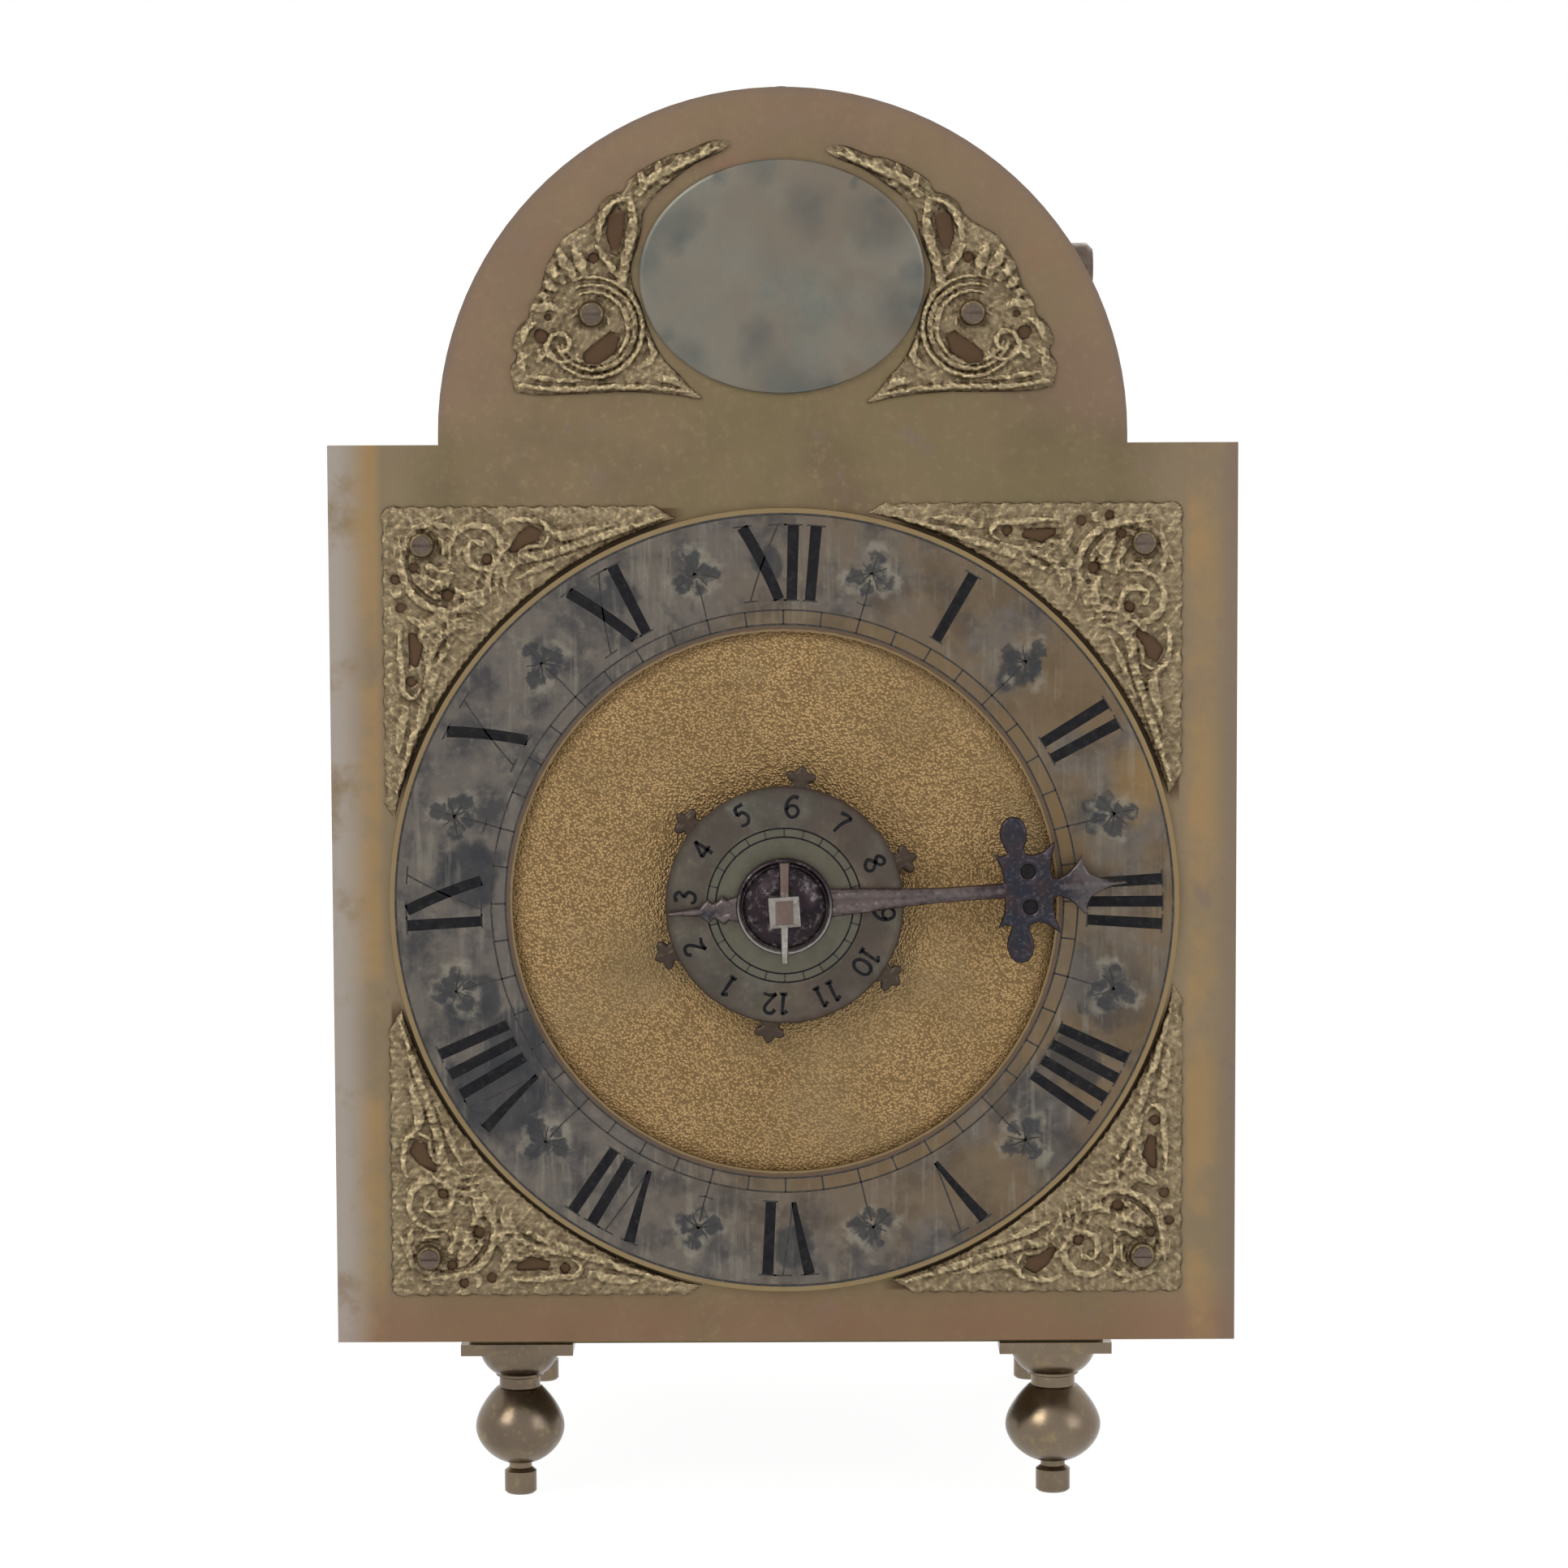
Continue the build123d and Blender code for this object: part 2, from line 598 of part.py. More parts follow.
with BuildPart() as spandrel_screws:
    head_y = dial_face_y - spandrel_thickness
    for x, z in screw_places:
        steps = (
            (dial_back_y + 0.6, head_y, screw_radius),
            (head_y, head_y - screw_head_height, screw_head_radius),
        )
        with BuildSketch(lying(x, z)):
            with BuildLine():
                Polyline(*stepped(steps), close=True)
            make_face()
        revolve(axis=Axis((x, 0, z), (0, 1, 0)))
    with BuildSketch(facing_front(head_y - screw_head_height)):
        with Locations(*screw_places):
            Rectangle(2 * screw_head_radius + 0.4, 0.5)
    extrude(amount=-0.45, mode=Mode.SUBTRACT)
keep(spandrel_screws, "spandrel_screws")

dial_foot_shoulder_y, dial_foot_end_y, dial_pin_y = -54.6, -42.0, -43.9
with BuildPart() as dial_feet:
    for x, z in dial_foot_places:
        steps = (
            (dial_face_y, dial_back_y, dial_foot_rivet),
            (dial_back_y, dial_foot_shoulder_y, dial_foot_radius),
            (dial_foot_shoulder_y, dial_foot_end_y, dial_foot_pin_radius),
        )
        with BuildSketch(lying(x, z)):
            with BuildLine():
                Polyline(*stepped(steps), close=True)
            make_face()
        revolve(axis=Axis((x, 0, z), (0, 1, 0)))
    with BuildSketch(Plane.XY):
        with Locations(*[(s * post, dial_pin_y) for _, s in SIDES]):
            Circle(0.7)
    extrude(amount=200, mode=Mode.SUBTRACT)
keep(dial_feet, "dial_feet")

with BuildPart() as dial_pins:
    for x, z in dial_foot_places:
        with BuildSketch(standing(x, dial_pin_y)):
            with BuildLine():
                Polyline((0, z - 5), (0.5, z - 5), (0.7, z - 1.6), (0.7, z + 1.6), (0.9, z + 2))
                Polyline((0.9, z + 2), (0.9, z + 6), (0, z + 6), (0, z - 5))
            make_face()
        revolve(axis=Axis((x, dial_pin_y, 0), (0, 0, 1)))
keep(dial_pins, "dial_pins")

# ---------------------------------------------------------------- hand, alarm disc and motion work
hub_end_y = hour_wheel_y + 1.8
with BuildPart() as hour_wheel:
    crossed_wheel(
        hour_wheel_y,
        hour_wheel_thickness,
        wheel_teeth(report_module, hour_teeth),
        rim_inner=22.5,
        hub_radius=8,
        bore=hour_arbor_radius + running,
        spoke=4,
        z=hour_z,
    )
    with BuildSketch(facing_front(hub_end_y, 0, hour_z)):
        Circle(6.5)
        Circle(hour_arbor_radius + running, mode=Mode.SUBTRACT)
    extrude(amount=hub_end_y - hour_wheel_y)
keep(hour_wheel, "hour_wheel")

hand_pin_top, hand_pin_low = hour_z + 8.5, hour_z - 9.7


with BuildPart() as hand_pin:
    with BuildSketch(standing(0, hand_pin_y)):
        with BuildLine():
            Polyline((0, hand_pin_low), (0.6, hand_pin_low), (1.05, hand_pin_top), (0, hand_pin_top))
            Line((0, hand_pin_top), (0, hand_pin_low))
        make_face()
    revolve(axis=Axis((0, hand_pin_y, 0), (0, 0, 1)))
keep(hand_pin, "hand_pin")

hour_arbor_steps = (
    (-50.1, front_bar_y - bar_thickness - 0.3, hour_pivot),
    (front_bar_y - bar_thickness - 0.3, hub_end_y + 0.1, 5.6),
    (hub_end_y + 0.1, -61.4, hour_arbor_radius),
    (-61.4, -62.0, 5.2),
    (-62.0, square_start_y, hour_arbor_radius),
)
with BuildPart() as hour_arbor:
    with BuildSketch(lying(0, hour_z)):
        with BuildLine():
            Polyline(*stepped(hour_arbor_steps), close=True)
        make_face()
    revolve(axis=Axis((0, 0, hour_z), (0, 1, 0)))
    with BuildSketch(facing_front(square_start_y, 0, hour_z)) as square:
        Rectangle(hour_square, hour_square, rotation=hand_angle)
    extrude(square.sketch, amount=square_start_y - square_end_y)
    chamfer(hour_arbor.faces().sort_by(Axis.Y)[0].edges(), length=0.8)
    add(hand_pin.part, mode=Mode.SUBTRACT)
keep(hour_arbor, "hour_arbor")

with BuildPart() as friction_spring:
    with BuildSketch(lying(0, hour_z)):
        with BuildLine():
            Polyline((hour_arbor_radius, -61.4), (hour_arbor_radius, -60.9), (11, -59.1))
            Polyline((11, -59.1), (11, -59.6), (hour_arbor_radius, -61.4))
        make_face()
    revolve(axis=Axis((0, 0, hour_z), (0, 1, 0)))
    with BuildSketch(facing_front(-55, 0, hour_z)) as gaps:
        with PolarLocations(9, 3):
            Rectangle(8, 7)
    extrude(gaps.sketch, amount=10, mode=Mode.SUBTRACT)
keep(friction_spring, "friction_spring")

# Hand outline along its arm: distance out from the axis, and half width
with BuildPart() as hour_hand:
    hand_plane = Plane(
        origin=(0, hand_back_y, hour_z),
        x_dir=(math.cos(math.radians(hand_angle)), 0, math.sin(math.radians(hand_angle))),
        z_dir=(0, -1, 0),
    )
    with BuildSketch(hand_plane) as hand:
        Polygon((-14, -0.4), (8, -2.3), (8, 2.3), (-14, 0.4), align=None)
        Polygon((-21.1, -0.35), (-12, -0.6), (-12, 0.6), (-21.1, 0.35), align=None)
        with Locations((-10.8, 0)):
            Ellipse(2.6, 1.9)
        Polygon((6, -2.3), (42, -1.8), (42, 1.8), (6, 2.3), align=None)
        with BuildLine():
            ThreePointArc((39.2, -7.0), (40.4, 0), (39.2, 7.0))
            ThreePointArc((39.2, 7.0), (42.3, 8.3), (49.2, 7.9))
            ThreePointArc((49.2, 7.9), (48.2, 4.5), (50.4, 1.9))
            Polyline((50.4, 1.9), (52.0, 2.0), (54.6, 5.1))
            ThreePointArc((54.6, 5.1), (57.6, 2.0), (62.3, 0))
            ThreePointArc((62.3, 0), (57.6, -2.0), (54.6, -5.1))
            Polyline((54.6, -5.1), (52.0, -2.0), (50.4, -1.9))
            ThreePointArc((50.4, -1.9), (48.2, -4.5), (49.2, -7.9))
            ThreePointArc((49.2, -7.9), (42.3, -8.3), (39.2, -7.0))
        make_face()
        with Locations((42.3, 10.1), (42.3, -10.1)):
            Ellipse(2.5, 3.4)
        with Locations((44.5, 3.25), (44.5, -3.25)):
            Circle(1.44, mode=Mode.SUBTRACT)
    extrude(hand.sketch, amount=hand_thickness)
    with BuildSketch(hand_plane) as boss:
        Circle(boss_radius)
    extrude(boss.sketch, amount=boss_height)
    chamfer(hour_hand.faces().sort_by(Axis.Y)[0].edges(), length=0.9)
    with BuildSketch(hand_plane) as socket:
        Rectangle(hour_square, hour_square)
    extrude(socket.sketch, amount=boss_height, mode=Mode.SUBTRACT)
keep(hour_hand, "hour_hand")

detent_y, detent_thickness, detent_radius = -63.9, 1.0, 10.0
with BuildPart() as alarm_disc:
    disc_front_y = disc_back_y - disc_thickness
    with BuildSketch(lying(0, hour_z)):
        with BuildLine():
            Polyline(
                (pipe_bore, detent_y),
                (detent_radius, detent_y),
                (detent_radius, detent_y - detent_thickness),
                (pipe_outer, detent_y - detent_thickness),
                (pipe_outer, disc_back_y),
                (disc_radius, disc_back_y),
                (disc_radius, disc_front_y + 0.3),
                (disc_radius - 0.3, disc_front_y),
                (pipe_bore, disc_front_y),
                close=True,
            )
        make_face()
    revolve(axis=Axis((0, 0, hour_z), (0, 1, 0)))
    with BuildSketch(facing_front(detent_y, 0, hour_z)) as lifting_pin:
        with Locations(polar(8.5, 200)):
            Circle(0.8)
    extrude(lifting_pin.sketch, amount=-2.2)
keep(alarm_disc, "alarm_disc")

# ---------------------------------------------------------------- going train
arbor_radius = 3.2


def turned_arbor(x, z, steps):
    """A stepped arbor along Y, inside the caller's part."""
    with BuildSketch(lying(x, z)) as half:
        with BuildLine():
            Polyline(*stepped(steps), close=True)
        make_face()
    revolve(half.sketch, axis=Axis((x, 0, z), (0, 1, 0)))


def pinion(module, plane, length):
    """A six-leaved pinion cut in an arbor, inside the caller's part."""
    with BuildSketch(plane) as leaf:
        with BuildLine():
            Polyline(*pinion_leaves(module), close=True)
        make_face()
    extrude(leaf.sketch, amount=length)


with BuildPart() as great_arbor:
    turned_arbor(
        0,
        great_z,
        (
            (middle_bar_y + 0.1, middle_bar_y - bar_thickness - 0.3, great_pivot[1]),
            (middle_bar_y - bar_thickness - 0.3, front_bar_y + 0.3, arbor_radius),
            (front_bar_y + 0.3, report_y, great_pivot[0]),
        ),
    )
    pinion(report_module, facing_front(report_y, 0, great_z), report_length)
keep(great_arbor, "great_arbor")

click_stud = (17.5, 0.0)
with BuildPart() as great_wheel:
    crossed_wheel(
        great_wheel_y,
        great_wheel_thickness,
        wheel_teeth(great_module, great_teeth),
        rim_inner=27.5,
        hub_radius=9,
        bore=arbor_radius,
        spoke=6,
        z=great_z,
    )
    with BuildSketch(facing_front(great_wheel_y, click_stud[0], great_z + click_stud[1])) as stud:
        Circle(1.2)
    extrude(stud.sketch, amount=-2.6)
keep(great_wheel, "great_wheel")

ratchet_y, ratchet_thickness, ratchet_radius, ratchet_teeth = -38.0, 2.4, 11.0, 24
with BuildPart() as click:
    nose = polar(ratchet_radius + 1.2, 38)
    link(
        great_wheel_y + 2.5,
        2.0,
        (click_stud[0], great_z),
        (nose[0], great_z + nose[1]),
        2.6,
        0.7,
    )
    with BuildSketch(facing_front(great_wheel_y + 3, click_stud[0], great_z)) as bore:
        Circle(1.2 + running)
    extrude(bore.sketch, amount=4, mode=Mode.SUBTRACT)
keep(click, "click")


def spiked_pulley(y_rear, x, z, radius, width, bore, spikes):
    """A V-grooved rope pulley with spikes in its groove, inside the caller's part."""
    middle = y_rear - width / 2
    floor = radius - 5
    with BuildSketch(lying(x, z)) as half:
        with BuildLine():
            Polyline(
                (bore, y_rear),
                (radius, y_rear),
                (radius, y_rear - 1.4),
                (floor, middle + 1.2),
                (floor, middle - 1.2),
                (radius, y_rear - width + 1.4),
                (radius, y_rear - width),
                (bore, y_rear - width),
                close=True,
            )
        make_face()
    revolve(half.sketch, axis=Axis((x, 0, z), (0, 1, 0)))
    for n in range(spikes):
        angle = math.radians(n * 360 / spikes)
        outwards = Vector(math.cos(angle), 0, math.sin(angle))
        root = Vector(x, middle, z) + outwards * (floor - 0.6)
        with BuildSketch(Plane(origin=root, x_dir=(0, 1, 0), z_dir=outwards)) as spike:
            Circle(0.7)
        extrude(spike.sketch, amount=3.4, taper=6)


with BuildPart() as rope_pulley:
    spiked_pulley(-26.0, 0, great_z, 15.0, 12.0, arbor_radius + running, 10)
    with BuildSketch(facing_front(ratchet_y, 0, great_z)) as ratchet:
        with BuildLine():
            pitch_angle = 360 / ratchet_teeth
            teeth = []
            for n in range(ratchet_teeth):
                teeth.append(polar(ratchet_radius, n * pitch_angle))
                teeth.append(polar(ratchet_radius - 1.6, n * pitch_angle + 1))
            Polyline(*teeth, close=True)
        make_face()
        Circle(arbor_radius + running, mode=Mode.SUBTRACT)
    extrude(ratchet.sketch, amount=ratchet_thickness)
keep(rope_pulley, "rope_pulley")

with BuildPart() as contrate_arbor:
    turned_arbor(
        0,
        contrate_z,
        (
            (middle_bar_y + 0.1, middle_bar_y - bar_thickness - 0.2, contrate_pivot),
            (middle_bar_y - bar_thickness - 0.2, -39.9, 1.6),
            (-39.9, front_bar_y + 0.3, 1.35),
            (front_bar_y + 0.3, front_bar_y - bar_thickness + 0.2, contrate_pivot),
        ),
    )
    pinion(great_module, facing_front(-39.9, 0, contrate_z), 6.6)
keep(contrate_arbor, "contrate_arbor")

contrate_back_y, contrate_disc = -18.6, 1.4
contrate_root_y = contrate_tip_y - 1.7


def face_teeth(origin, normal, radius, width, root, profile, teeth, start_angle):
    """Teeth that stand on the rim of a crown or contrate wheel, inside the caller's part.

    profile is their outline as (sideways, outwards) from the root, and normal is the way they point.
    """
    for n in range(teeth):
        turn = Location(Plane(origin=origin, z_dir=normal)) * Rotation(0, 0, start_angle + n * 360 / teeth)
        flank = Plane(origin=(radius - width / 2, 0, root), x_dir=(0, 1, 0), z_dir=(1, 0, 0))
        tooth_plane = Plane(turn) * flank
        with BuildSketch(tooth_plane) as tooth:
            Polygon(*profile, align=None)
        extrude(tooth.sketch, amount=width)


with BuildPart() as contrate_wheel:
    crossed_wheel(
        contrate_back_y,
        contrate_disc,
        None,
        rim_inner=19.8,
        hub_radius=5,
        bore=1.6,
        spoke=3.4,
        z=contrate_z,
    )
    with BuildSketch(facing_front(contrate_root_y, 0, contrate_z)) as band:
        Circle(contrate_radius + 1.2)
        Circle(contrate_radius - 1.2, mode=Mode.SUBTRACT)
    extrude(band.sketch, amount=contrate_root_y - contrate_back_y)
    with BuildSketch(facing_front(contrate_root_y - 0.5, 0, contrate_z)) as collet:
        Circle(3.8)
        Circle(1.6, mode=Mode.SUBTRACT)
    extrude(collet.sketch, amount=contrate_root_y - 0.5 - contrate_back_y + 3.4)
    half_tooth, half_tip = 0.40, 0.14
    contrate_tooth = ((-half_tooth, -0.1), (half_tooth, -0.1), (half_tooth, 1.0))
    contrate_tooth += ((half_tip, 1.7), (-half_tip, 1.7), (-half_tooth, 1.0))
    face_teeth(
        (0, contrate_root_y, contrate_z),
        (0, 1, 0),
        contrate_radius,
        1.9,
        0,
        contrate_tooth,
        contrate_teeth,
        90,
    )
keep(contrate_wheel, "contrate_wheel")

bridge_z, bridge_thickness = 184.6, 1.8
potence_z, potence_thickness = 131.0, 3.5
with BuildPart() as crown_arbor:
    steps = (
        (potence_z + 0.2, potence_z + potence_thickness + 0.2, crown_pivot),
        (potence_z + potence_thickness + 0.2, 137, 1.2),
        (137, 146, 0.9),
        (146, bridge_z - 0.2, 1.5),
        (bridge_z - 0.2, bridge_z + bridge_thickness - 0.1, crown_pivot),
    )
    with BuildSketch(standing(0, crown_y)) as half:
        with BuildLine():
            Polyline(*stepped(steps), close=True)
        make_face()
    revolve(half.sketch, axis=Axis((0, crown_y, 0), (0, 0, 1)))
    pinion(contrate_module, Plane.XY.offset(137).shift_origin((0, crown_y, 137)), 9)
keep(crown_arbor, "crown_arbor")

crown_disc_z, crown_root_z = 176.0, 180.2
with BuildPart() as crown_wheel:
    with BuildSketch(Plane.XY.offset(crown_disc_z).shift_origin((0, crown_y, crown_disc_z))) as disc:
        Circle(crown_radius + 0.6)
        with BuildSketch(mode=Mode.SUBTRACT):
            Circle(crown_radius - 1.6)
            Circle(4.2, mode=Mode.SUBTRACT)
            Rectangle(60, 3, mode=Mode.SUBTRACT)
            Rectangle(3, 60, mode=Mode.SUBTRACT)
        Circle(1.5, mode=Mode.SUBTRACT)
    extrude(disc.sketch, amount=1.4)
    with BuildSketch(Plane.XY.offset(crown_disc_z).shift_origin((0, crown_y, crown_disc_z))) as band:
        Circle(crown_radius + 0.6)
        Circle(crown_radius - 0.6, mode=Mode.SUBTRACT)
    extrude(band.sketch, amount=crown_root_z - crown_disc_z)
    hub_z = crown_disc_z - 2
    with BuildSketch(Plane.XY.offset(hub_z).shift_origin((0, crown_y, hub_z))) as hub:
        Circle(3.6)
        Circle(1.5, mode=Mode.SUBTRACT)
    extrude(hub.sketch, amount=6)
    height = crown_tip_z - crown_root_z
    face_teeth(
        (0, crown_y, crown_root_z),
        (0, 0, 1),
        crown_radius,
        1.0,
        0,
        ((-1.25, -0.1), (1.35, -0.1), (1.35, 0), (1.75, height), (1.45, height), (-1.25, 0)),
        crown_teeth,
        0,
    )
keep(crown_wheel, "crown_wheel")

# ---------------------------------------------------------------- cocks, verge and pendulum
with BuildPart() as crown_potence:
    potence_front_y = crown_y - 3.6
    with BuildSketch(Plane.XY.offset(potence_z)) as arm:
        with Locations((0, (potence_front_y + middle_bar_y - bar_thickness) / 2)):
            Rectangle(8, middle_bar_y - bar_thickness - potence_front_y)
        with Locations((0, crown_y)):
            Circle(crown_pivot + running, mode=Mode.SUBTRACT)
    extrude(arm.sketch, amount=potence_thickness)
    with BuildSketch(facing_front(middle_bar_y - bar_thickness)) as foot:
        with Locations((0, potence_z - 1.5)):
            Rectangle(8, 10)
    extrude(foot.sketch, amount=1.6)
keep(crown_potence, "crown_potence")

with BuildPart() as crown_bridge:
    leg_x = 23.0
    with BuildSketch(facing_front(crown_y + 4)) as side_view:
        with Locations((0, bridge_z + bridge_thickness / 2)):
            Rectangle(2 * leg_x + 3, bridge_thickness)
        for _, s in SIDES:
            with Locations((s * leg_x, (top_of_frame + bridge_z) / 2)):
                Rectangle(3, bridge_z - top_of_frame)
            with Locations((s * (leg_x + 3), top_of_frame + 1)):
                Rectangle(9, 2)
    extrude(side_view.sketch, amount=8)
    with BuildSketch(Plane.XY.offset(bridge_z)) as pivot_hole:
        with Locations((0, crown_y)):
            Circle(crown_pivot + running)
    extrude(pivot_hole.sketch, amount=bridge_thickness, mode=Mode.SUBTRACT)
keep(crown_bridge, "crown_bridge")


def verge_cock(y_rear, thickness, half_width, bore, toe):
    """An upright cock on the top plate with a shaped head and a toe, inside the caller's part."""
    with BuildSketch(facing_front(y_rear)) as head:
        with Locations((0, (top_of_frame + verge_z) / 2)):
            Rectangle(2 * half_width, verge_z - top_of_frame)
        with Locations((0, verge_z)):
            Circle(half_width * 0.72)
        with Locations((half_width, verge_z - 5), (-half_width, verge_z - 5)):
            Circle(half_width * 0.42, mode=Mode.SUBTRACT)
        with Locations((0, verge_z)):
            Circle(bore, mode=Mode.SUBTRACT)
    extrude(head.sketch, amount=thickness)
    with BuildSketch(Plane.XY.offset(top_of_frame)) as foot:
        with Locations((0, y_rear - thickness / 2 + toe / 2)):
            Rectangle(2 * half_width, thickness + abs(toe))
    extrude(foot.sketch, amount=2)


with BuildPart() as verge_cock_front:
    verge_cock(-38, 4, 7, 0.8 + running, -6)
keep(verge_cock_front, "verge_cock_front")

with BuildPart() as verge_cock_rear:
    verge_cock(56, 4, 9, verge_radius + running, -6)
keep(verge_cock_rear, "verge_cock_rear")

pallet_width, pallet_thickness, pallet_angle = 4.6, 0.7, 48
with BuildPart() as verge:
    turned_arbor(0, verge_z, ((-41.6, -37.8, 0.8), (-37.8, rod_y + 4.2, verge_radius)))
    for middle, lean_way in ((crown_y - crown_radius, -1), (crown_y + crown_radius, 1)):
        angle = math.radians(-90 + lean_way * pallet_angle)
        down = Vector(math.cos(angle), 0, math.sin(angle))
        with BuildSketch(Plane(origin=(0, middle, verge_z), x_dir=(0, 1, 0), z_dir=down)) as pallet:
            Rectangle(pallet_width, pallet_thickness)
        extrude(pallet.sketch, amount=pallet_reach)
keep(verge, "verge")

rod_radius, rod_end_z = 1.1, 25.0
with BuildPart() as pendulum_rod:
    with BuildSketch(facing_front(rod_y + 3, 0, verge_z)) as eye:
        Circle(3.2)
    extrude(eye.sketch, amount=6)
    with BuildSketch(Plane.XY.offset(rod_end_z)) as rod:
        with Locations((0, rod_y)):
            Circle(rod_radius)
    extrude(rod.sketch, amount=verge_z - rod_end_z)
    with BuildSketch(facing_front(rod_y + 3, 0, verge_z)) as bore:
        Circle(verge_radius)
    extrude(bore.sketch, amount=6, mode=Mode.SUBTRACT)
keep(pendulum_rod, "pendulum_rod")

with BuildPart() as pendulum_bob:
    low, high = bob_z - bob_height / 2, bob_z + bob_height / 2
    with BuildSketch(standing(0, rod_y)):
        with BuildLine():
            Line((rod_radius + running, low), (4.2, low))
            Spline((4.2, low), (bob_radius, low + 7.5), (6.0, low + 16.5), (3.2, high - 1.6))
            Polyline((3.2, high - 1.6), (3.8, high - 1.4), (3.8, high), (rod_radius + running, high))
            Line((rod_radius + running, high), (rod_radius + running, low))
        make_face()
    revolve(axis=Axis((0, rod_y, 0), (0, 0, 1)))
keep(pendulum_bob, "pendulum_bob")

# ---------------------------------------------------------------- alarm work
alarm_disc_y, alarm_root_y, alarm_hub_y, alarm_hub_radius = 34.6, 31.8, 56.2, 4.2
stop_pin_circle = 14.5
with BuildPart() as alarm_stud:
    turned_arbor(alarm_x, alarm_z, ((back_plate_y, 30.3, stud_radius),))
    with BuildSketch(Plane.XY.offset(alarm_z - 3.5)) as cross_pin:
        with Locations((alarm_x, 31.4)):
            Circle(0.5)
    extrude(cross_pin.sketch, amount=7)
keep(alarm_stud, "alarm_stud")

with BuildPart() as alarm_wheel:
    crossed_wheel(
        alarm_disc_y + 1.4,
        1.4,
        None,
        rim_inner=13.6,
        hub_radius=6,
        bore=stud_radius + running,
        spoke=3.4,
        x=alarm_x,
        z=alarm_z,
    )
    with BuildSketch(facing_front(alarm_disc_y + 1.4, alarm_x, alarm_z)) as band:
        Circle(alarm_radius + 0.7)
        Circle(alarm_radius - 0.7, mode=Mode.SUBTRACT)
    extrude(band.sketch, amount=alarm_disc_y + 1.4 - alarm_root_y)
    with BuildSketch(facing_front(alarm_hub_y, alarm_x, alarm_z)) as hub:
        Circle(alarm_hub_radius)
        Circle(stud_radius + running, mode=Mode.SUBTRACT)
    extrude(hub.sketch, amount=alarm_hub_y - 33.2)
    with BuildSketch(facing_front(alarm_disc_y + 1.2, alarm_x, alarm_z)) as stop_pin:
        with Locations((-stop_pin_circle, 0)):
            Circle(0.9)
    extrude(stop_pin.sketch, amount=-3)
    height = alarm_root_y - alarm_tip_y
    face_teeth(
        (alarm_x, alarm_root_y, alarm_z),
        (0, -1, 0),
        alarm_radius,
        1.2,
        0,
        ((-2.8, -0.1), (2.9, -0.1), (2.9, 0), (3.4, height), (2.9, height), (-2.8, 0)),
        alarm_teeth,
        0,
    )
keep(alarm_wheel, "alarm_wheel")

with BuildPart() as alarm_pulley:
    spiked_pulley(53.0, alarm_x, alarm_z, 14.0, 12.0, alarm_hub_radius, 9)
keep(alarm_pulley, "alarm_pulley")

cock_low, cock_high = 101.0, 104.5
with BuildPart() as alarm_cock:
    cock_rear_y = back_plate_y - back_plate_thickness
    with BuildSketch(Plane.XY.offset(cock_low)) as arm:
        with Locations((alarm_x, (cock_rear_y + 19.5) / 2)):
            Rectangle(9, cock_rear_y - 19.5)
    extrude(arm.sketch, amount=cock_high - cock_low)
    with BuildSketch(facing_front(cock_rear_y, alarm_x, cock_low - 3)) as foot:
        Rectangle(9, 13)
    extrude(foot.sketch, amount=2)
    with BuildSketch(Plane.XY.offset(cock_low + 0.8)) as footstep:
        with Locations((alarm_x, alarm_verge_y)):
            Circle(1.0 + running)
    extrude(footstep.sketch, amount=4, mode=Mode.SUBTRACT)
keep(alarm_cock, "alarm_cock")

with BuildPart() as alarm_verge:
    steps = (
        (cock_low + 1.0, cock_high + 0.3, 1.0),
        (cock_high + 0.3, alarm_verge_top, alarm_verge_radius),
    )
    with BuildSketch(standing(alarm_x, alarm_verge_y)) as half:
        with BuildLine():
            Polyline(*stepped(steps), close=True)
        make_face()
    revolve(half.sketch, axis=Axis((alarm_x, alarm_verge_y, 0), (0, 0, 1)))
    for middle, lean_way in ((alarm_z - alarm_radius, -1), (alarm_z + alarm_radius, 1)):
        angle = math.radians(90 + lean_way * 46)
        towards = Vector(math.cos(angle), math.sin(angle), 0)
        root = (alarm_x, alarm_verge_y, middle)
        with BuildSketch(Plane(origin=root, x_dir=(0, 0, 1), z_dir=towards)) as pallet:
            Rectangle(7, 0.9)
        extrude(pallet.sketch, amount=alarm_tip_y - alarm_verge_y + 0.2)
keep(alarm_verge, "alarm_verge")

hammer_wire, hammer_head_radius, hammer_head_ends = 1.5, 4.5, (48.6, 59.8)
with BuildPart() as alarm_hammer:
    with BuildSketch(Plane.XY.offset(hammer_arm_z - 2.5)) as collet:
        with Locations((alarm_x, alarm_verge_y)):
            Circle(3.6)
    extrude(collet.sketch, amount=5)
    corner_radius = 6.0
    with BuildLine() as wire:
        FilletPolyline(
            (alarm_x, alarm_verge_y, hammer_arm_z),
            (hammer_x, hammer_y, hammer_arm_z),
            (hammer_x, hammer_y, hammer_z),
            radius=corner_radius,
        )
    start = Vector(hammer_x - alarm_x, hammer_y - alarm_verge_y, 0)
    with BuildSketch(Plane(origin=(alarm_x, alarm_verge_y, hammer_arm_z), z_dir=start)) as section:
        Circle(hammer_wire)
    sweep(section.sketch, path=wire.line)
    with BuildSketch(Plane(origin=(hammer_head_ends[0], hammer_y, hammer_z), z_dir=(1, 0, 0))) as head:
        Circle(hammer_head_radius)
    extrude(head.sketch, amount=hammer_head_ends[1] - hammer_head_ends[0])
    chamfer(alarm_hammer.faces().sort_by(Axis.X)[-1].edges(), length=1.2)
    with BuildSketch(Plane.XY.offset(hammer_arm_z - 3)) as bore:
        with Locations((alarm_x, alarm_verge_y)):
            Circle(alarm_verge_radius)
    extrude(bore.sketch, amount=6, mode=Mode.SUBTRACT)
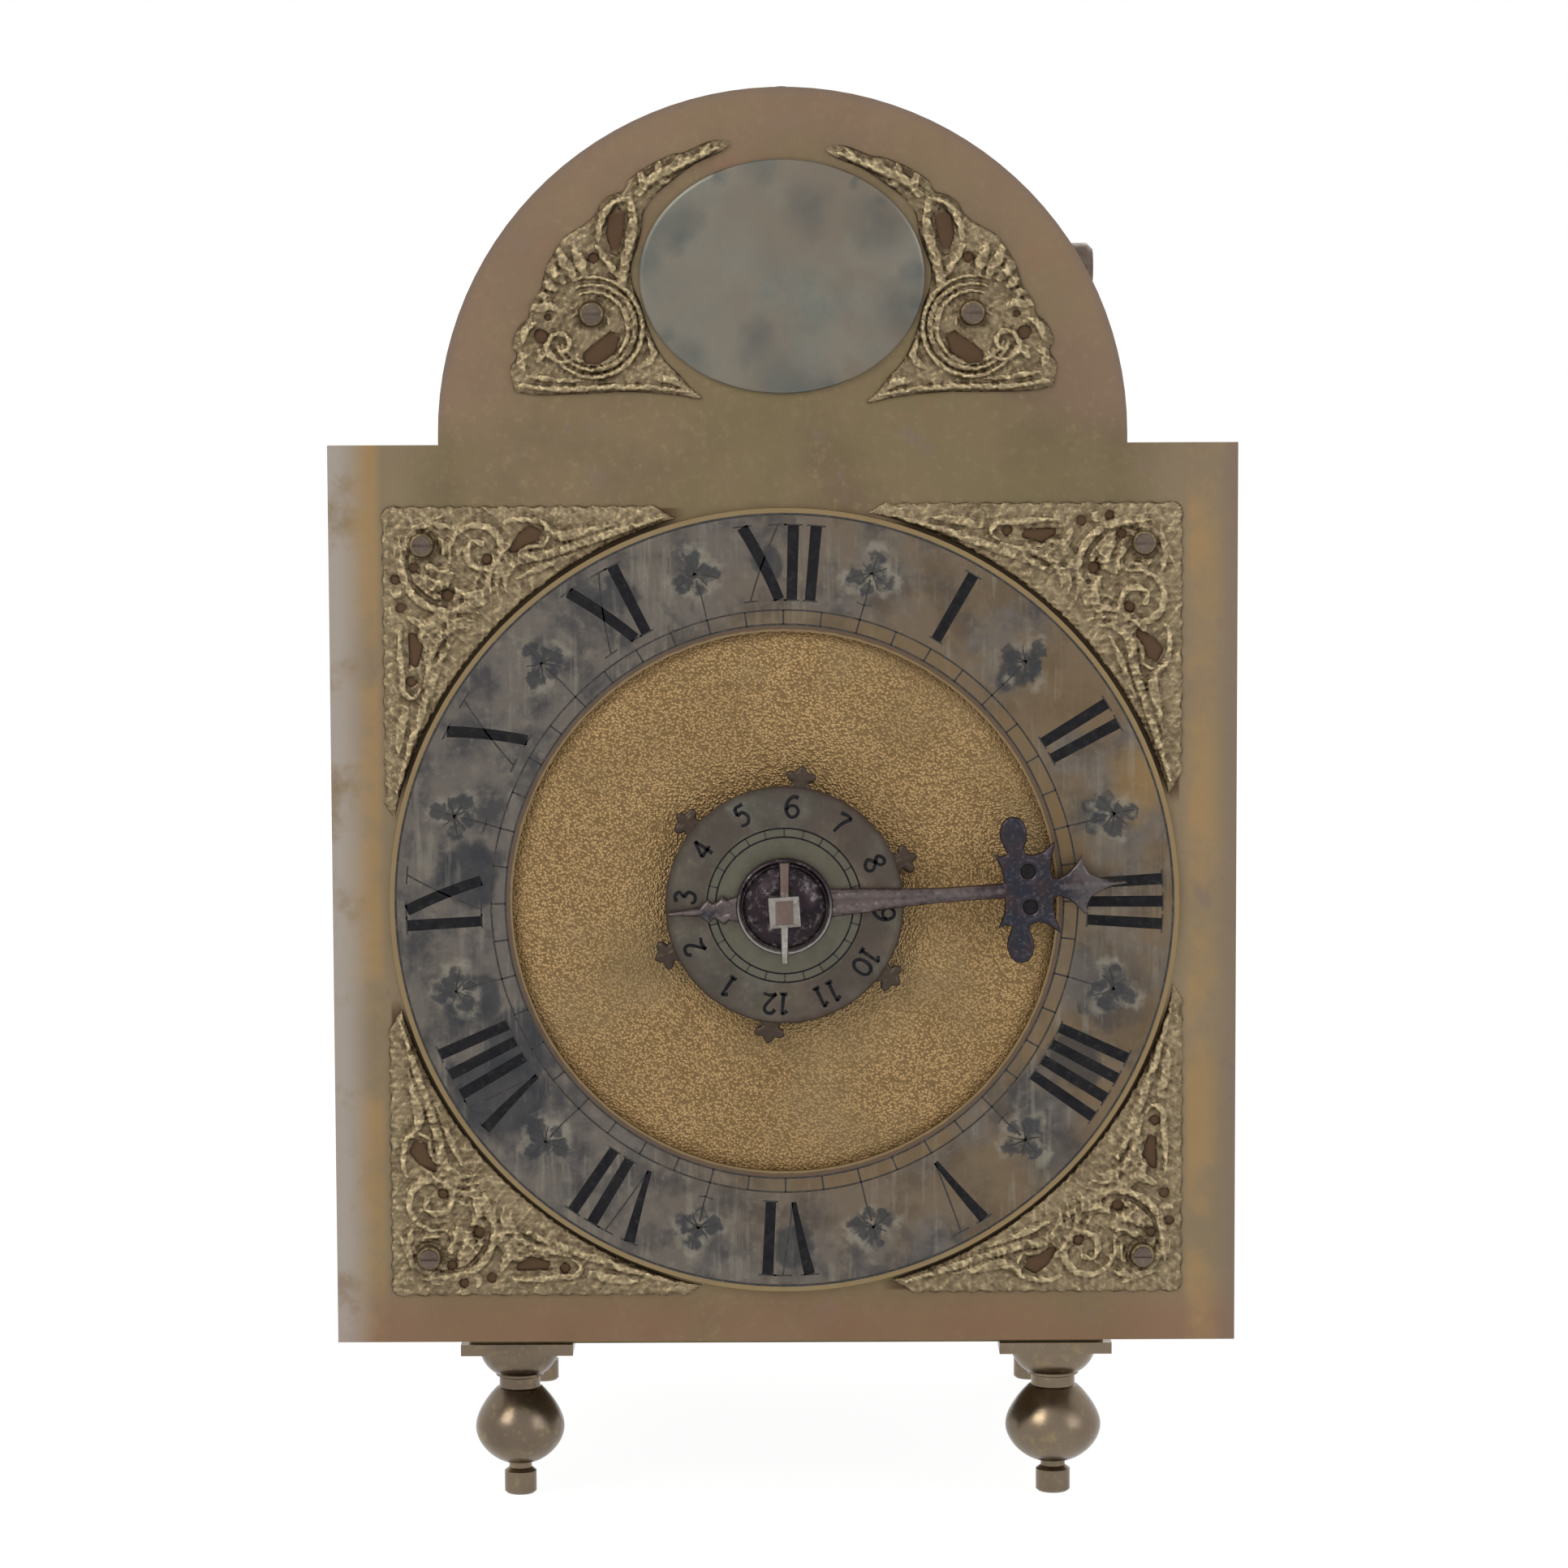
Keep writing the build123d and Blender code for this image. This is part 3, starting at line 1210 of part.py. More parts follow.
keep(alarm_hammer, "alarm_hammer")

with BuildPart() as alarm_lever:
    turned_arbor(
        lever_x,
        lever_z,
        (
            (back_plate_y - 0.1, back_plate_y - back_plate_thickness - 0.2, lever_pivot),
            (back_plate_y - back_plate_thickness - 0.2, -63.8, lever_radius),
        ),
    )
    feeler = (5.1, hour_z + 9.6)
    link(-62.1, 1.6, (lever_x, lever_z), feeler, 2.4, 1.2)
    catch_angle = math.degrees(math.atan2(lever_z - alarm_z, lever_x - alarm_x))
    catch = polar(stop_pin_circle + 2.4, catch_angle)
    link(38.8, 1.6, (lever_x, lever_z), (alarm_x + catch[0], alarm_z + catch[1]), 2.4, 1.2)
keep(alarm_lever, "alarm_lever")

# ---------------------------------------------------------------- side doors
door_gap, door_front_y = 0.5, -57.0
knob_y, knob_z = -49.0, 100.0
for side, across in SIDES:
    with BuildPart() as door:
        low, high = plate_top + door_gap, top_plate_z - door_gap
        with BuildSketch(Plane.XY.offset(low)) as panel:
            with Locations((across * (door_x + door_thickness / 2), (door_front_y + door_rod_y) / 2)):
                Rectangle(door_thickness, door_rod_y - door_front_y)
            with Locations((across * door_x, door_rod_y)):
                Circle(door_rod_radius)
        extrude(panel.sketch, amount=high - low)
        with BuildSketch(Plane.XY.offset(bottom_plate_z)) as rod:
            with Locations((across * door_x, door_rod_y)):
                Circle(door_rod_radius)
        extrude(rod.sketch, amount=top_of_frame - bottom_plate_z)
        knob_plane = Plane(origin=(across * (door_x + door_thickness), knob_y, knob_z), z_dir=(across, 0, 0))
        with BuildSketch(knob_plane) as shank:
            Circle(1.6)
        extrude(shank.sketch, amount=2.4)
        with BuildSketch(knob_plane.offset(2.4)) as knob:
            Circle(3.2)
        extrude(knob.sketch, amount=3.6)
        fillet(door.faces().sort_by(Axis.X)[0 if across < 0 else -1].edges(), radius=1.4)
    keep(door, f"door_{side}")
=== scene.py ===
"""Looks for the arched-dial lantern clock: its finishes, castings and dial work.

Lengths in the classes are millimetres in the frame of the solids: X to the right, Y to the back and
Z up from the feet. Every mesh is made in metres in that frame, on an object that stays at the origin.
"""

import logging
import math
from dataclasses import dataclass
from enum import Enum
from typing import Iterable, Sequence

import bmesh
import bpy
import numpy as np
from mathutils import Matrix, Vector


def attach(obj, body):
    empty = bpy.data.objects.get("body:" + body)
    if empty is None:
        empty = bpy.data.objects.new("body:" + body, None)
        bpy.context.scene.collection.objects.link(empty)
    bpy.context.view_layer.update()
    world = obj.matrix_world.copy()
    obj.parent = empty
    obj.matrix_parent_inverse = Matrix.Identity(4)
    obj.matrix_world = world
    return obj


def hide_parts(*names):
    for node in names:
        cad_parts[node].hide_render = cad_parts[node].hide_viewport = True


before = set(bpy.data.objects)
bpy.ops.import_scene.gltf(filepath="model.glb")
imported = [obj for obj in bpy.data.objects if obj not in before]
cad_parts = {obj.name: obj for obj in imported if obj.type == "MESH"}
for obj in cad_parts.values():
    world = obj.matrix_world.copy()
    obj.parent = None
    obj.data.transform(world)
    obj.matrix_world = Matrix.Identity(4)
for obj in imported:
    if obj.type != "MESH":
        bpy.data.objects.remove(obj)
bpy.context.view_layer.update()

MM = 0.001
HOUR_AXIS = (0.0, 113.9)
OVAL_CENTRE = (0.0, 227.6)
LATHE_CREASE_DEG = 35.0
BAR_HEIGHT_MM, BAR_RAISED_MM = 0.07, 0.005      # divisions, of which half is let into the metal
LOG = logging.getLogger("lantern_clock")

Point = tuple[float, float]
Spot = tuple[float, float, float]
Socket = bpy.types.NodeSocket
Tree = bpy.types.NodeTree
Material = bpy.types.Material
Piece = bpy.types.Object
Value = float | tuple | str | Socket


# ---------------------------------------------------------------- small tools
def linear(code: str) -> tuple[float, float, float, float]:
    """Turn an sRGB hex colour into linear values.

    Args:
        code: Six hex digits after a hash sign.

    Returns:
        Red, green, blue and an alpha of one.
    """
    parts = [int(code[i : i + 2], 16) / 255 for i in (1, 3, 5)]
    values = [c / 12.92 if c <= 0.04045 else ((c + 0.055) / 1.055) ** 2.4 for c in parts]
    return (values[0], values[1], values[2], 1.0)


def add_node(
    tree: Tree, kind: str, inputs: dict[str | int, Value] | None = None, **settings: object
) -> bpy.types.Node:
    """Add a node with its settings, its input values and its links.

    Args:
        tree: The tree that the node joins.
        kind: The node's type name.
        inputs: Input name or index, with a value, a hex colour or a socket to link from.
        **settings: Properties of the node itself.

    Returns:
        The new node.
    """
    node = tree.nodes.new(kind)
    for name, setting in settings.items():
        setattr(node, name, setting)
    for key, value in (inputs or {}).items():
        socket = node.inputs[key]
        if isinstance(value, bpy.types.NodeSocket):
            tree.links.new(value, socket)
        elif isinstance(value, str) and value.startswith("#"):
            socket.default_value = linear(value)
        else:
            socket.default_value = value
    return node


def per_metre(millimetres: float) -> float:
    """The texture scale whose pattern repeats about once in a length in millimetres."""
    return 1000.0 / millimetres


def smooth_line(points: Sequence[Point], steps: int = 6) -> np.ndarray:
    """Pass a soft curve through points.

    Args:
        points: Where the curve goes, in order.
        steps: Short runs between one point and the next.

    Returns:
        Rows of two coordinates.
    """
    p = np.array([points[0], *points, points[-1]], float)
    t = np.linspace(0, 1, steps, endpoint=False)[:, None]
    runs = []
    for a, b, c, d in zip(p, p[1:], p[2:], p[3:]):
        square, cube = 2 * a - 5 * b + 4 * c - d, 3 * b - a - 3 * c + d
        runs.append(0.5 * (2 * b + (c - a) * t + square * t**2 + cube * t**3))
    return np.vstack([*runs, p[-1:]])


def polar(radius: float, degrees: float, centre: Point = (0.0, 0.0)) -> Point:
    """A point at a radius and an angle from the X axis, round a centre."""
    angle = math.radians(degrees)
    return (centre[0] + radius * math.cos(angle), centre[1] + radius * math.sin(angle))


def spiral(
    centre: Point, outer: float, inner: float, start: float, sweep: float, count: int = 12
) -> tuple[Point, ...]:
    """Points along a volute.

    Args:
        centre: The eye of the volute.
        outer: Radius where it starts.
        inner: Radius where it ends.
        start: Angle where it starts, in degrees.
        sweep: Degrees that it turns, negative for clockwise.
        count: Number of points.

    Returns:
        The points, from the outside in.
    """
    grow, last = inner - outer, count - 1
    return tuple(polar(outer + grow * (n / last), start + sweep * (n / last), centre) for n in range(count))


def put(name: str, data: bpy.types.ID) -> Piece:
    """Make an object of some data and link it into the scene."""
    made = bpy.data.objects.new(name, data)
    bpy.context.scene.collection.objects.link(made)
    return made


def emptied(holder: Material | bpy.types.World) -> Tree:
    """The node tree of a material or a world, with nothing in it."""
    holder.use_nodes = True
    holder.node_tree.nodes.clear()
    return holder.node_tree


def add_mesh(name: str, vertices: Sequence, faces: Sequence, material: Material) -> Piece:
    """Make an object at the origin from a list of corners in metres.

    Args:
        name: Name of the piece.
        vertices: Corner positions.
        faces: Corner numbers of each face.
        material: Its finish.

    Returns:
        The new object.
    """
    mesh = bpy.data.meshes.new(name)
    mesh.from_pydata([tuple(v) for v in vertices], [], [tuple(f) for f in faces])
    mesh.materials.append(material)
    return put(name, mesh)


def dress(nodes: Iterable[str], material: Material) -> None:
    """Give solids of the frame a finish in place of their plain one.

    Args:
        nodes: Names of the solids.
        material: The finish.
    """
    for node in nodes:
        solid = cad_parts[node]
        for place in solid.material_slots:
            place.material = material


def settle(piece: Piece, body: str, slot: str, *hidden: str) -> Piece:
    """Fix a finished piece to a body of the frame.

    Args:
        piece: The piece, in its place.
        body: The body that carries it.
        slot: The record's material slot that it belongs to; not used.
        *hidden: Solids that it stands for.

    Returns:
        The same piece.
    """
    if hidden:
        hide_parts(*hidden)
    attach(piece, body)
    LOG.info("%s: %d faces on %s", piece.name, len(piece.data.polygons), body)
    return piece


# ---------------------------------------------------------------- finishes
class Wear(Enum):
    """How a finish follows the shape below it, as painted light and shade."""

    NONE = "none"
    # painted highlight on the ridges, painted shade and grime in the hollows
    RIDGE = "ridge"      # darker in the hollows of a casting, brighter on its ridges


@dataclass(frozen=True)
class Metal:
    """An old metal surface: colours in hex, patterns by their real size in millimetres."""

    name: str
    ground: str
    tarnish: str
    bright: str
    cloud_mm: float = 22.0
    fleck_mm: float = 1.6
    grain_mm: float = 0.5
    grain_depth_mm: float = 0.02
    rough: tuple[float, float] = (0.34, 0.58)
    tarnished: float = 0.5
    brightness: float = 0.35
    metallic: float = 0.9
    gleam: float = 0.5
    wear: Wear = Wear.NONE

    def mask(
        self, tree: Tree, place: Socket, size_mm: float, span: Point = (0.42, 0.66), most: float = 1.0
    ) -> Socket:
        """A soft patchy mask.

        Args:
            tree: Tree of the material.
            place: Position socket.
            size_mm: Size of the patches.
            span: Noise values that give zero and the most.
            most: Highest value of the mask.

        Returns:
            A value between zero and the most.
        """
        wave = {"Vector": place, "Scale": per_metre(size_mm), "Detail": 6.0, "Roughness": 0.62}
        noise = add_node(tree, "ShaderNodeTexNoise", wave).outputs["Fac"]
        spread = {"Value": noise, "From Min": span[0], "From Max": span[1], "To Max": most}
        return add_node(tree, "ShaderNodeMapRange", spread, interpolation_type="SMOOTHSTEP").outputs[0]

    def coats(self, tree: Tree, ground: Value, *layers: tuple[Value, ...]) -> Socket:
        """Lay coats of colour over a ground.

        Args:
            tree: Tree of the material.
            ground: The colour below them.
            *layers: For each coat the shares that it covers, which are multiplied, and then its colour.

        Returns:
            The colour on top.
        """
        shade = ground
        for share, *others, tint in layers:
            for other in others:
                both = {0: share, 1: other}
                share = add_node(tree, "ShaderNodeMath", both, operation="MULTIPLY").outputs[0]
            layer = {0: share, 6: shade, 7: tint}
            shade = add_node(tree, "ShaderNodeMix", layer, data_type="RGBA").outputs[2]
        return shade

    def colour(self, tree: Tree, place: Socket) -> Socket:
        """Clouds of tarnish over the ground, with bright flecks where it has been rubbed, and painted light
        and shade from the ridges where asked.
        """
        clouds = self.mask(tree, place, self.cloud_mm, most=self.tarnished)
        flecks = self.mask(tree, place, self.fleck_mm, (0.5, 0.78), self.brightness)
        shade = self.coats(tree, self.ground, (clouds, self.tarnish), (flecks, self.bright))
        # painted highlight on the crests and painted shade with grime in the hollows, from the ridge
        # attribute
        if self.wear is Wear.RIDGE:
            ridge = add_node(tree, "ShaderNodeAttribute", attribute_name="ridge").outputs["Fac"]
            hollow, crest = (0.5, 0.24, 0.9, self.tarnish), (0.52, 0.86, 0.8, self.bright)
            for start, full, most, tint in (hollow, crest):
                span = {"Value": ridge, "From Min": start, "From Max": full, "To Max": most}
                share = add_node(tree, "ShaderNodeMapRange", span).outputs[0]
                shade = self.coats(tree, shade, (share, tint))
        return shade

    def gloss(self, tree: Tree, place: Socket) -> Socket:
        """Roughness that varies with handling and tarnish."""
        wave = {"Vector": place, "Scale": per_metre(self.cloud_mm * 0.4), "Detail": 5.0}
        noise = add_node(tree, "ShaderNodeTexNoise", wave).outputs["Fac"]
        spread = {"Value": noise, "From Min": 0.3, "From Max": 0.7}
        spread |= {"To Min": self.rough[0], "To Max": self.rough[1]}
        return add_node(tree, "ShaderNodeMapRange", spread).outputs[0]

    def surface(self, tree: Tree, place: Socket) -> Socket:
        """Fine unevenness of the worked surface."""
        wave = {"Vector": place, "Scale": per_metre(self.grain_mm), "Detail": 4.0}
        grain = add_node(tree, "ShaderNodeTexNoise", wave).outputs["Fac"]
        bump = {"Height": grain, "Distance": self.grain_depth_mm * MM, "Strength": 1.0}
        return add_node(tree, "ShaderNodeBump", bump).outputs["Normal"]

    def material(self) -> Material:
        """Build the material from its colour, gloss and surface."""
        made = bpy.data.materials.new(self.name)
        tree = emptied(made)
        place = add_node(tree, "ShaderNodeTexCoord").outputs["Object"]
        inputs = {
            "Base Color": self.colour(tree, place),
            "Roughness": self.gloss(tree, place),
            "Metallic": self.metallic,
            "Specular IOR Level": self.gleam,
            "Normal": self.surface(tree, place),
        }
        shader = add_node(tree, "ShaderNodeBsdfPrincipled", inputs)
        add_node(tree, "ShaderNodeOutputMaterial", {"Surface": shader.outputs["BSDF"]})
        return made


def from_axis(tree: Tree, place: Socket, x_mm: float, z_mm: float) -> Socket:
    """Distance in metres from a line along Y.

    Args:
        tree: Tree of the material.
        place: Position socket.
        x_mm: Where the line stands across the dial.
        z_mm: How high it is.

    Returns:
        The distance socket.
    """
    flat = add_node(tree, "ShaderNodeVectorMath", {0: place, 1: (1.0, 0.0, 1.0)}, operation="MULTIPLY")
    ends = {0: flat.outputs["Vector"], 1: (x_mm * MM, 0.0, z_mm * MM)}
    return add_node(tree, "ShaderNodeVectorMath", ends, operation="DISTANCE").outputs["Value"]


def between(tree: Tree, value: Socket, zero_mm: float, one_mm: float) -> Socket:
    """A soft step of a length in metres, from zero at one length to one at another, in millimetres."""
    span = {"Value": value, "From Min": zero_mm * MM, "From Max": one_mm * MM}
    return add_node(tree, "ShaderNodeMapRange", span, interpolation_type="SMOOTHSTEP").outputs[0]


@dataclass(frozen=True)
class DialSheet(Metal):
    """Scraped brass sheet punched inside the ring: painted sheen at its left edge, painted shade and grime
    in the gap round the ring, painted shade under the castings.
    """

    # colour of the painted sheen at the left edge of the plate, over its patina
    pale: str = "#a8a09a"
    edge: str = "#776760"
    gold: str = "#9d8057"
    olive: str = "#6f6748"
    stain: str = "#83624f"
    margin: str = "#8d7c66"
    arch: str = "#8b7261"
    # colour of the painted shade, with grime, in the gap between the chapter ring and the castings
    dirt: str = "#2b2117"
    # colour of the painted shade on the plate under the castings
    hidden: str = "#503a2a"
    mat: str = "#957b54"
    mat_light: str = "#c2a273"
    mat_dark: str = "#5f4a30"
    mat_worn: str = "#7f6e50"
    mat_mm: float = 49.7
    punch_mm: float = 0.42
    arch_z_mm: float = 199.2
    front_mm: Point = (-66.6, -67.2)
    # piercings of the arch castings, where the plate below gets painted shade
    openings: tuple[Spot, ...] = (
        (32.8, 214.8, 4.3), (29.9, 235.8, 4.0), (43.6, 217.0, 2.2), (42.3, 220.4, 1.7), (34.0, 231.0, 1.9),
    )

    def colour(self, tree: Tree, place: Socket) -> Socket:
        """Sheet colour outside the ring, and the punched gold inside it."""
        axes = add_node(tree, "ShaderNodeSeparateXYZ", {"Vector": place}).outputs
        wide = add_node(tree, "ShaderNodeMath", {0: axes["X"]}, operation="ABSOLUTE").outputs[0]
        ring = from_axis(tree, place, *HOUR_AXIS)
        rim = from_axis(tree, place, 0.0, self.arch_z_mm)
        high = axes["Z"]
        for operation, other in (("SUBTRACT", HOUR_AXIS[1] * MM), ("ABSOLUTE", 0.0)):
            high = add_node(tree, "ShaderNodeMath", {0: high, 1: other}, operation=operation).outputs[0]
        corner = add_node(tree, "ShaderNodeMath", {0: wide, 1: high}, operation="MINIMUM").outputs[0]
        upper, foot = between(tree, axes["Z"], 196.0, 206.0), between(tree, axes["Z"], 46.0, 36.0)
        left, right = between(tree, axes["X"], -74.5, -81.5), between(tree, axes["X"], 78.0, 82.5)
        # the gap round the ring, for its painted shade and grime
        gap = (between(tree, ring, 73.6, 72.9), between(tree, ring, 71.5, 72.1))
        # under the corner castings, for the painted shade there
        below = [between(tree, side, 72.3, 71.7) for side in (wide, high)]
        below.append(between(tree, ring, 72.6, 73.0))
        streak = (between(tree, wide, 72.4, 74.5), between(tree, wide, 81.0, 76.0))
        clouds = self.mask(tree, place, 48.0, (0.42, 0.6))
        plain = self.coats(tree, super().colour(tree, place), (clouds, 0.5, self.olive))
        sheet = self.coats(
            tree,
            plain,
            (between(tree, wide, 60.0, 72.0), 0.55, self.margin),
            (self.mask(tree, place, 14.0, (0.56, 0.7)), upper, 0.6, self.stain),
            (self.mask(tree, place, 9.0, (0.6, 0.7)), 0.5, self.edge),
            (between(tree, rim, 40.0, 60.0), upper, 0.5, self.arch),
            (foot, self.mask(tree, place, 40.0, (0.34, 0.52)), 0.6, self.stain),
            (*streak, self.mask(tree, place, 19.0, (0.38, 0.6)), 0.65, self.gold),
            (right, 0.5, self.edge),
            # painted sheen: pale reflection of light along the left edge, over the patina
            (left, self.mask(tree, place, 13.0, (0.28, 0.5)), 0.7, self.pale),
            (between(tree, rim, 60.6, 62.2), upper, 0.5, self.edge),
            # painted shade and grime: dark band in the gap round the ring beside the castings
            (*gap, between(tree, corner, 17.0, 24.0), 0.92, self.dirt),
            # painted shade on the plate under the corner castings
            (*below, between(tree, corner, 17.0, 21.0), 0.85, self.hidden),
        )
        folded = add_node(tree, "ShaderNodeCombineXYZ", {"X": wide, "Z": axes["Z"]}).outputs[0]
        # painted shade on the plate seen through the piercings of the arch castings
        for x, z, radius in self.openings:
            opening = between(tree, from_axis(tree, folded, x, z), radius, radius - 0.9)
            sheet = self.coats(tree, sheet, (opening, 0.85, self.hidden))
        punches = {"Vector": place, "Scale": per_metre(self.punch_mm)}
        cells = add_node(tree, "ShaderNodeTexVoronoi", punches)
        spots = {"Value": cells.outputs["Distance"], "From Min": 0.15, "From Max": 0.62}
        pits = add_node(tree, "ShaderNodeMapRange", spots).outputs["Result"]
        punched = self.coats(
            tree,
            self.mat,
            (0.65, self.coats(tree, self.mat_light, (pits, self.mat_dark))),
            (self.mask(tree, place, 26.0, (0.44, 0.7)), 0.6, self.mat_worn),
            # painted shade: darker band on the mat just inside the chapter ring, where the ring shades it
            (between(tree, ring, 47.5, 49.6), 0.45, self.mat_dark),
        )
        sheet = self.coats(tree, sheet, (between(tree, ring, self.mat_mm + 0.1, self.mat_mm), punched))
        return self.coats(tree, plain, (between(tree, axes["Y"], *self.front_mm), sheet))

    def surface(self, tree: Tree, place: Socket) -> Socket:
        """Light scraping marks on the sheet and close punch marks in the middle."""
        plain = super().surface(tree, place)
        punches = {"Vector": place, "Scale": per_metre(self.punch_mm)}
        cells = add_node(tree, "ShaderNodeTexVoronoi", punches)
        inside = between(tree, from_axis(tree, place, *HOUR_AXIS), self.mat_mm + 0.1, self.mat_mm)
        depth = add_node(tree, "ShaderNodeSeparateXYZ", {"Vector": place}).outputs["Y"]
        punched = cells.outputs["Distance"]
        for share in (inside, between(tree, depth, *self.front_mm)):
            both = {0: punched, 1: share}
            punched = add_node(tree, "ShaderNodeMath", both, operation="MULTIPLY").outputs[0]
        bump = {"Height": punched, "Distance": 0.2 * MM, "Strength": 1.0, "Normal": plain}
        return add_node(tree, "ShaderNodeBump", bump, invert=True).outputs["Normal"]


@dataclass(frozen=True)
class Silvering(Metal):
    """Chemical silvering rubbed thin over brass, with brass showing through and dark spots of damp."""

    brass: str = "#85704b"
    damp: str = "#3d4142"
    damp_share: float = 0.72
    damp_core: float = 0.7
    bare: float = 0.75
    bare_from_x_mm: float = 10.0
    spots: tuple[Spot, ...] = ()

    def warped(self, tree: Tree, place: Socket, size_mm: float, shift_mm: float) -> Socket:
        """The position, pushed about so that an edge runs unevenly.

        Args:
            tree: Tree of the material.
            place: Position socket.
            size_mm: Size of the unevenness along the edge.
            shift_mm: How far it is pushed.

        Returns:
            The new position.
        """
        pattern = {"Vector": place, "Scale": per_metre(size_mm), "Detail": 4.0}
        wave = add_node(tree, "ShaderNodeTexNoise", pattern).outputs["Color"]
        shift = {0: wave, 1: (0.5, 0.5, 0.5)}
        centred = add_node(tree, "ShaderNodeVectorMath", shift, operation="SUBTRACT").outputs["Vector"]
        pushed = {0: centred, 1: (2 * shift_mm * MM,) * 3, 2: place}
        return add_node(tree, "ShaderNodeVectorMath", pushed, operation="MULTIPLY_ADD").outputs["Vector"]

    def colour(self, tree: Tree, place: Socket) -> Socket:
        """Silver, with brass on the handled side and dark damp spots at given places."""
        across = add_node(tree, "ShaderNodeSeparateXYZ", {"Vector": place}).outputs["X"]
        side = between(tree, across, self.bare_from_x_mm - 60, self.bare_from_x_mm + 60)
        patches = self.mask(tree, place, 18.0, (0.36, 0.6))
        silver = self.coats(tree, super().colour(tree, place), (side, patches, self.bare, self.brass))
        uneven = self.warped(tree, place, 7.0, 4.5)
        for x, z, radius in self.spots:
            spot = between(tree, from_axis(tree, uneven, x, z), radius, radius * self.damp_core)
            silver = self.coats(tree, silver, (spot, self.damp_share, self.damp))
        return silver


@dataclass(frozen=True)
class RingSilver(Silvering):
    """The ring's silvering: bare brass at both rims, and worn dark leaves at the half hours."""

    leaf: str = "#3a3c3f"
    halo: str = "#8b8578"
    rim: str = "#8f7a56"
    margin: str = "#5f4e40"
    rims_mm: tuple[float, float] = (51.0, 71.1)
    middle_mm: float = 62.0
    golden: str = "#8c7046"
    dulled: str = "#3d3b3a"
    browned: str = "#45413d"
    lobes: tuple[Spot, ...] = (
        (3.2, 0.3, 1.9), (-0.6, 2.7, 2.0), (-0.9, -2.6, 2.1),
        (-2.6, 0.0, 1.5), (1.0, 0.0, 1.7), (0.9, 2.0, 1.3),
    )

    def colour(self, tree: Tree, place: Socket) -> Socket:
        """Silvering with its rims and leaves."""
        silver = super().colour(tree, place)
        cloud = self.warped(tree, place, 6.0, 3.0)
        for x, z, radius, share, tint in (
            (64.5, 136.0, 9.0, 0.65, self.golden),
            (60.0, 98.0, 12.0, 0.5, self.dulled),
            (49.0, 67.0, 9.0, 0.4, self.browned),
        ):
            patch = between(tree, from_axis(tree, cloud, x, z), radius, 0.2 * radius)
            silver = self.coats(tree, silver, (patch, share, tint))
        uneven = self.warped(tree, place, 1.7, 1.7)
        ring = from_axis(tree, uneven, *HOUR_AXIS)
        rim = from_axis(tree, self.warped(tree, place, 2.4, 0.25), *HOUR_AXIS)
        drawn = {0: place, 1: (1.0, 1.0, 0.07)}
        brushed = add_node(tree, "ShaderNodeVectorMath", drawn, operation="MULTIPLY").outputs["Vector"]
        streaks = self.mask(tree, brushed, 1.6, (0.5, 0.66))
        axes = add_node(tree, "ShaderNodeSeparateXYZ", {"Vector": uneven}).outputs
        above = {0: axes["Z"], 1: HOUR_AXIS[1] * MM}
        high = add_node(tree, "ShaderNodeMath", above, operation="SUBTRACT").outputs[0]
        side = add_node(tree, "ShaderNodeMath", {0: axes["X"], 1: high}, operation="ARCTAN2").outputs[0]
        for operation, other in (
            ("MULTIPLY", 6 / math.pi),      # hours past twelve
            ("ADD", 12.0),
            ("FRACT", 0.0),
            ("SUBTRACT", 0.5),              # off the half hour
            ("MULTIPLY", ring),
            ("MULTIPLY", math.pi / 6),      # metres along the ring
        ):
            side = add_node(tree, "ShaderNodeMath", {0: side, 1: other}, operation=operation).outputs[0]
        spot = add_node(tree, "ShaderNodeCombineXYZ", {"X": ring, "Y": side}).outputs[0]
        leaf: Value = 0.0
        halo: Value = 0.0
        for out, across, radius in self.lobes:
            ends = {0: spot, 1: ((self.middle_mm + out) * MM, across * MM, 0.0)}
            far = add_node(tree, "ShaderNodeVectorMath", ends, operation="DISTANCE").outputs["Value"]
            near = {0: leaf, 1: between(tree, far, radius, radius * 0.62)}
            leaf = add_node(tree, "ShaderNodeMath", near, operation="MAXIMUM").outputs[0]
            wide = {0: halo, 1: between(tree, far, radius + 1.7, radius + 0.3)}
            halo = add_node(tree, "ShaderNodeMath", wide, operation="MAXIMUM").outputs[0]
        handled = (between(tree, axes["X"], -30.0, 20.0), self.mask(tree, place, 20.0, (0.3, 0.5)))
        outer, inner = self.rims_mm[1], self.rims_mm[0]
        return self.coats(
            tree,
            silver,
            (streaks, self.mask(tree, place, 10.0, (0.4, 0.6)), 0.4, self.halo),
            (halo, self.mask(tree, place, 7.0, (0.44, 0.6)), 0.6, self.halo),
            (leaf, self.mask(tree, place, 3.0, (0.26, 0.5)), 0.85, self.leaf),
            (between(tree, rim, outer - 0.3, outer + 0.2), 0.8, self.rim),
            (between(tree, rim, 54.2, 53.3), *handled, 0.6, self.brass),
            (between(tree, rim, inner + 0.2, inner - 0.2), 0.8, self.margin),
            (between(tree, rim, 50.15, 49.85), 0.7, self.rim),
        )


@dataclass(frozen=True)
class AlarmSilver(Silvering):
    """The alarm disc's silvering: brown outside its track, greener inside it and dark at the leaves."""

    outer: str = "#4c443f"
    inner: str = "#605f52"
    tips: str = "#40342c"

    def colour(self, tree: Tree, place: Socket) -> Socket:
        """Silvering, then a tint by the distance from the middle."""
        ring = from_axis(tree, self.warped(tree, place, 3.0, 0.6), *HOUR_AXIS)
        patches = self.mask(tree, place, 8.0, (0.34, 0.58))
        return self.coats(
            tree,
            super().colour(tree, place),
            (between(tree, ring, 13.9, 14.9), patches, 0.7, self.outer),
            (between(tree, ring, 14.5, 13.6), 0.6, self.inner),
            (between(tree, ring, 20.2, 22.0), 0.8, self.tips),
        )


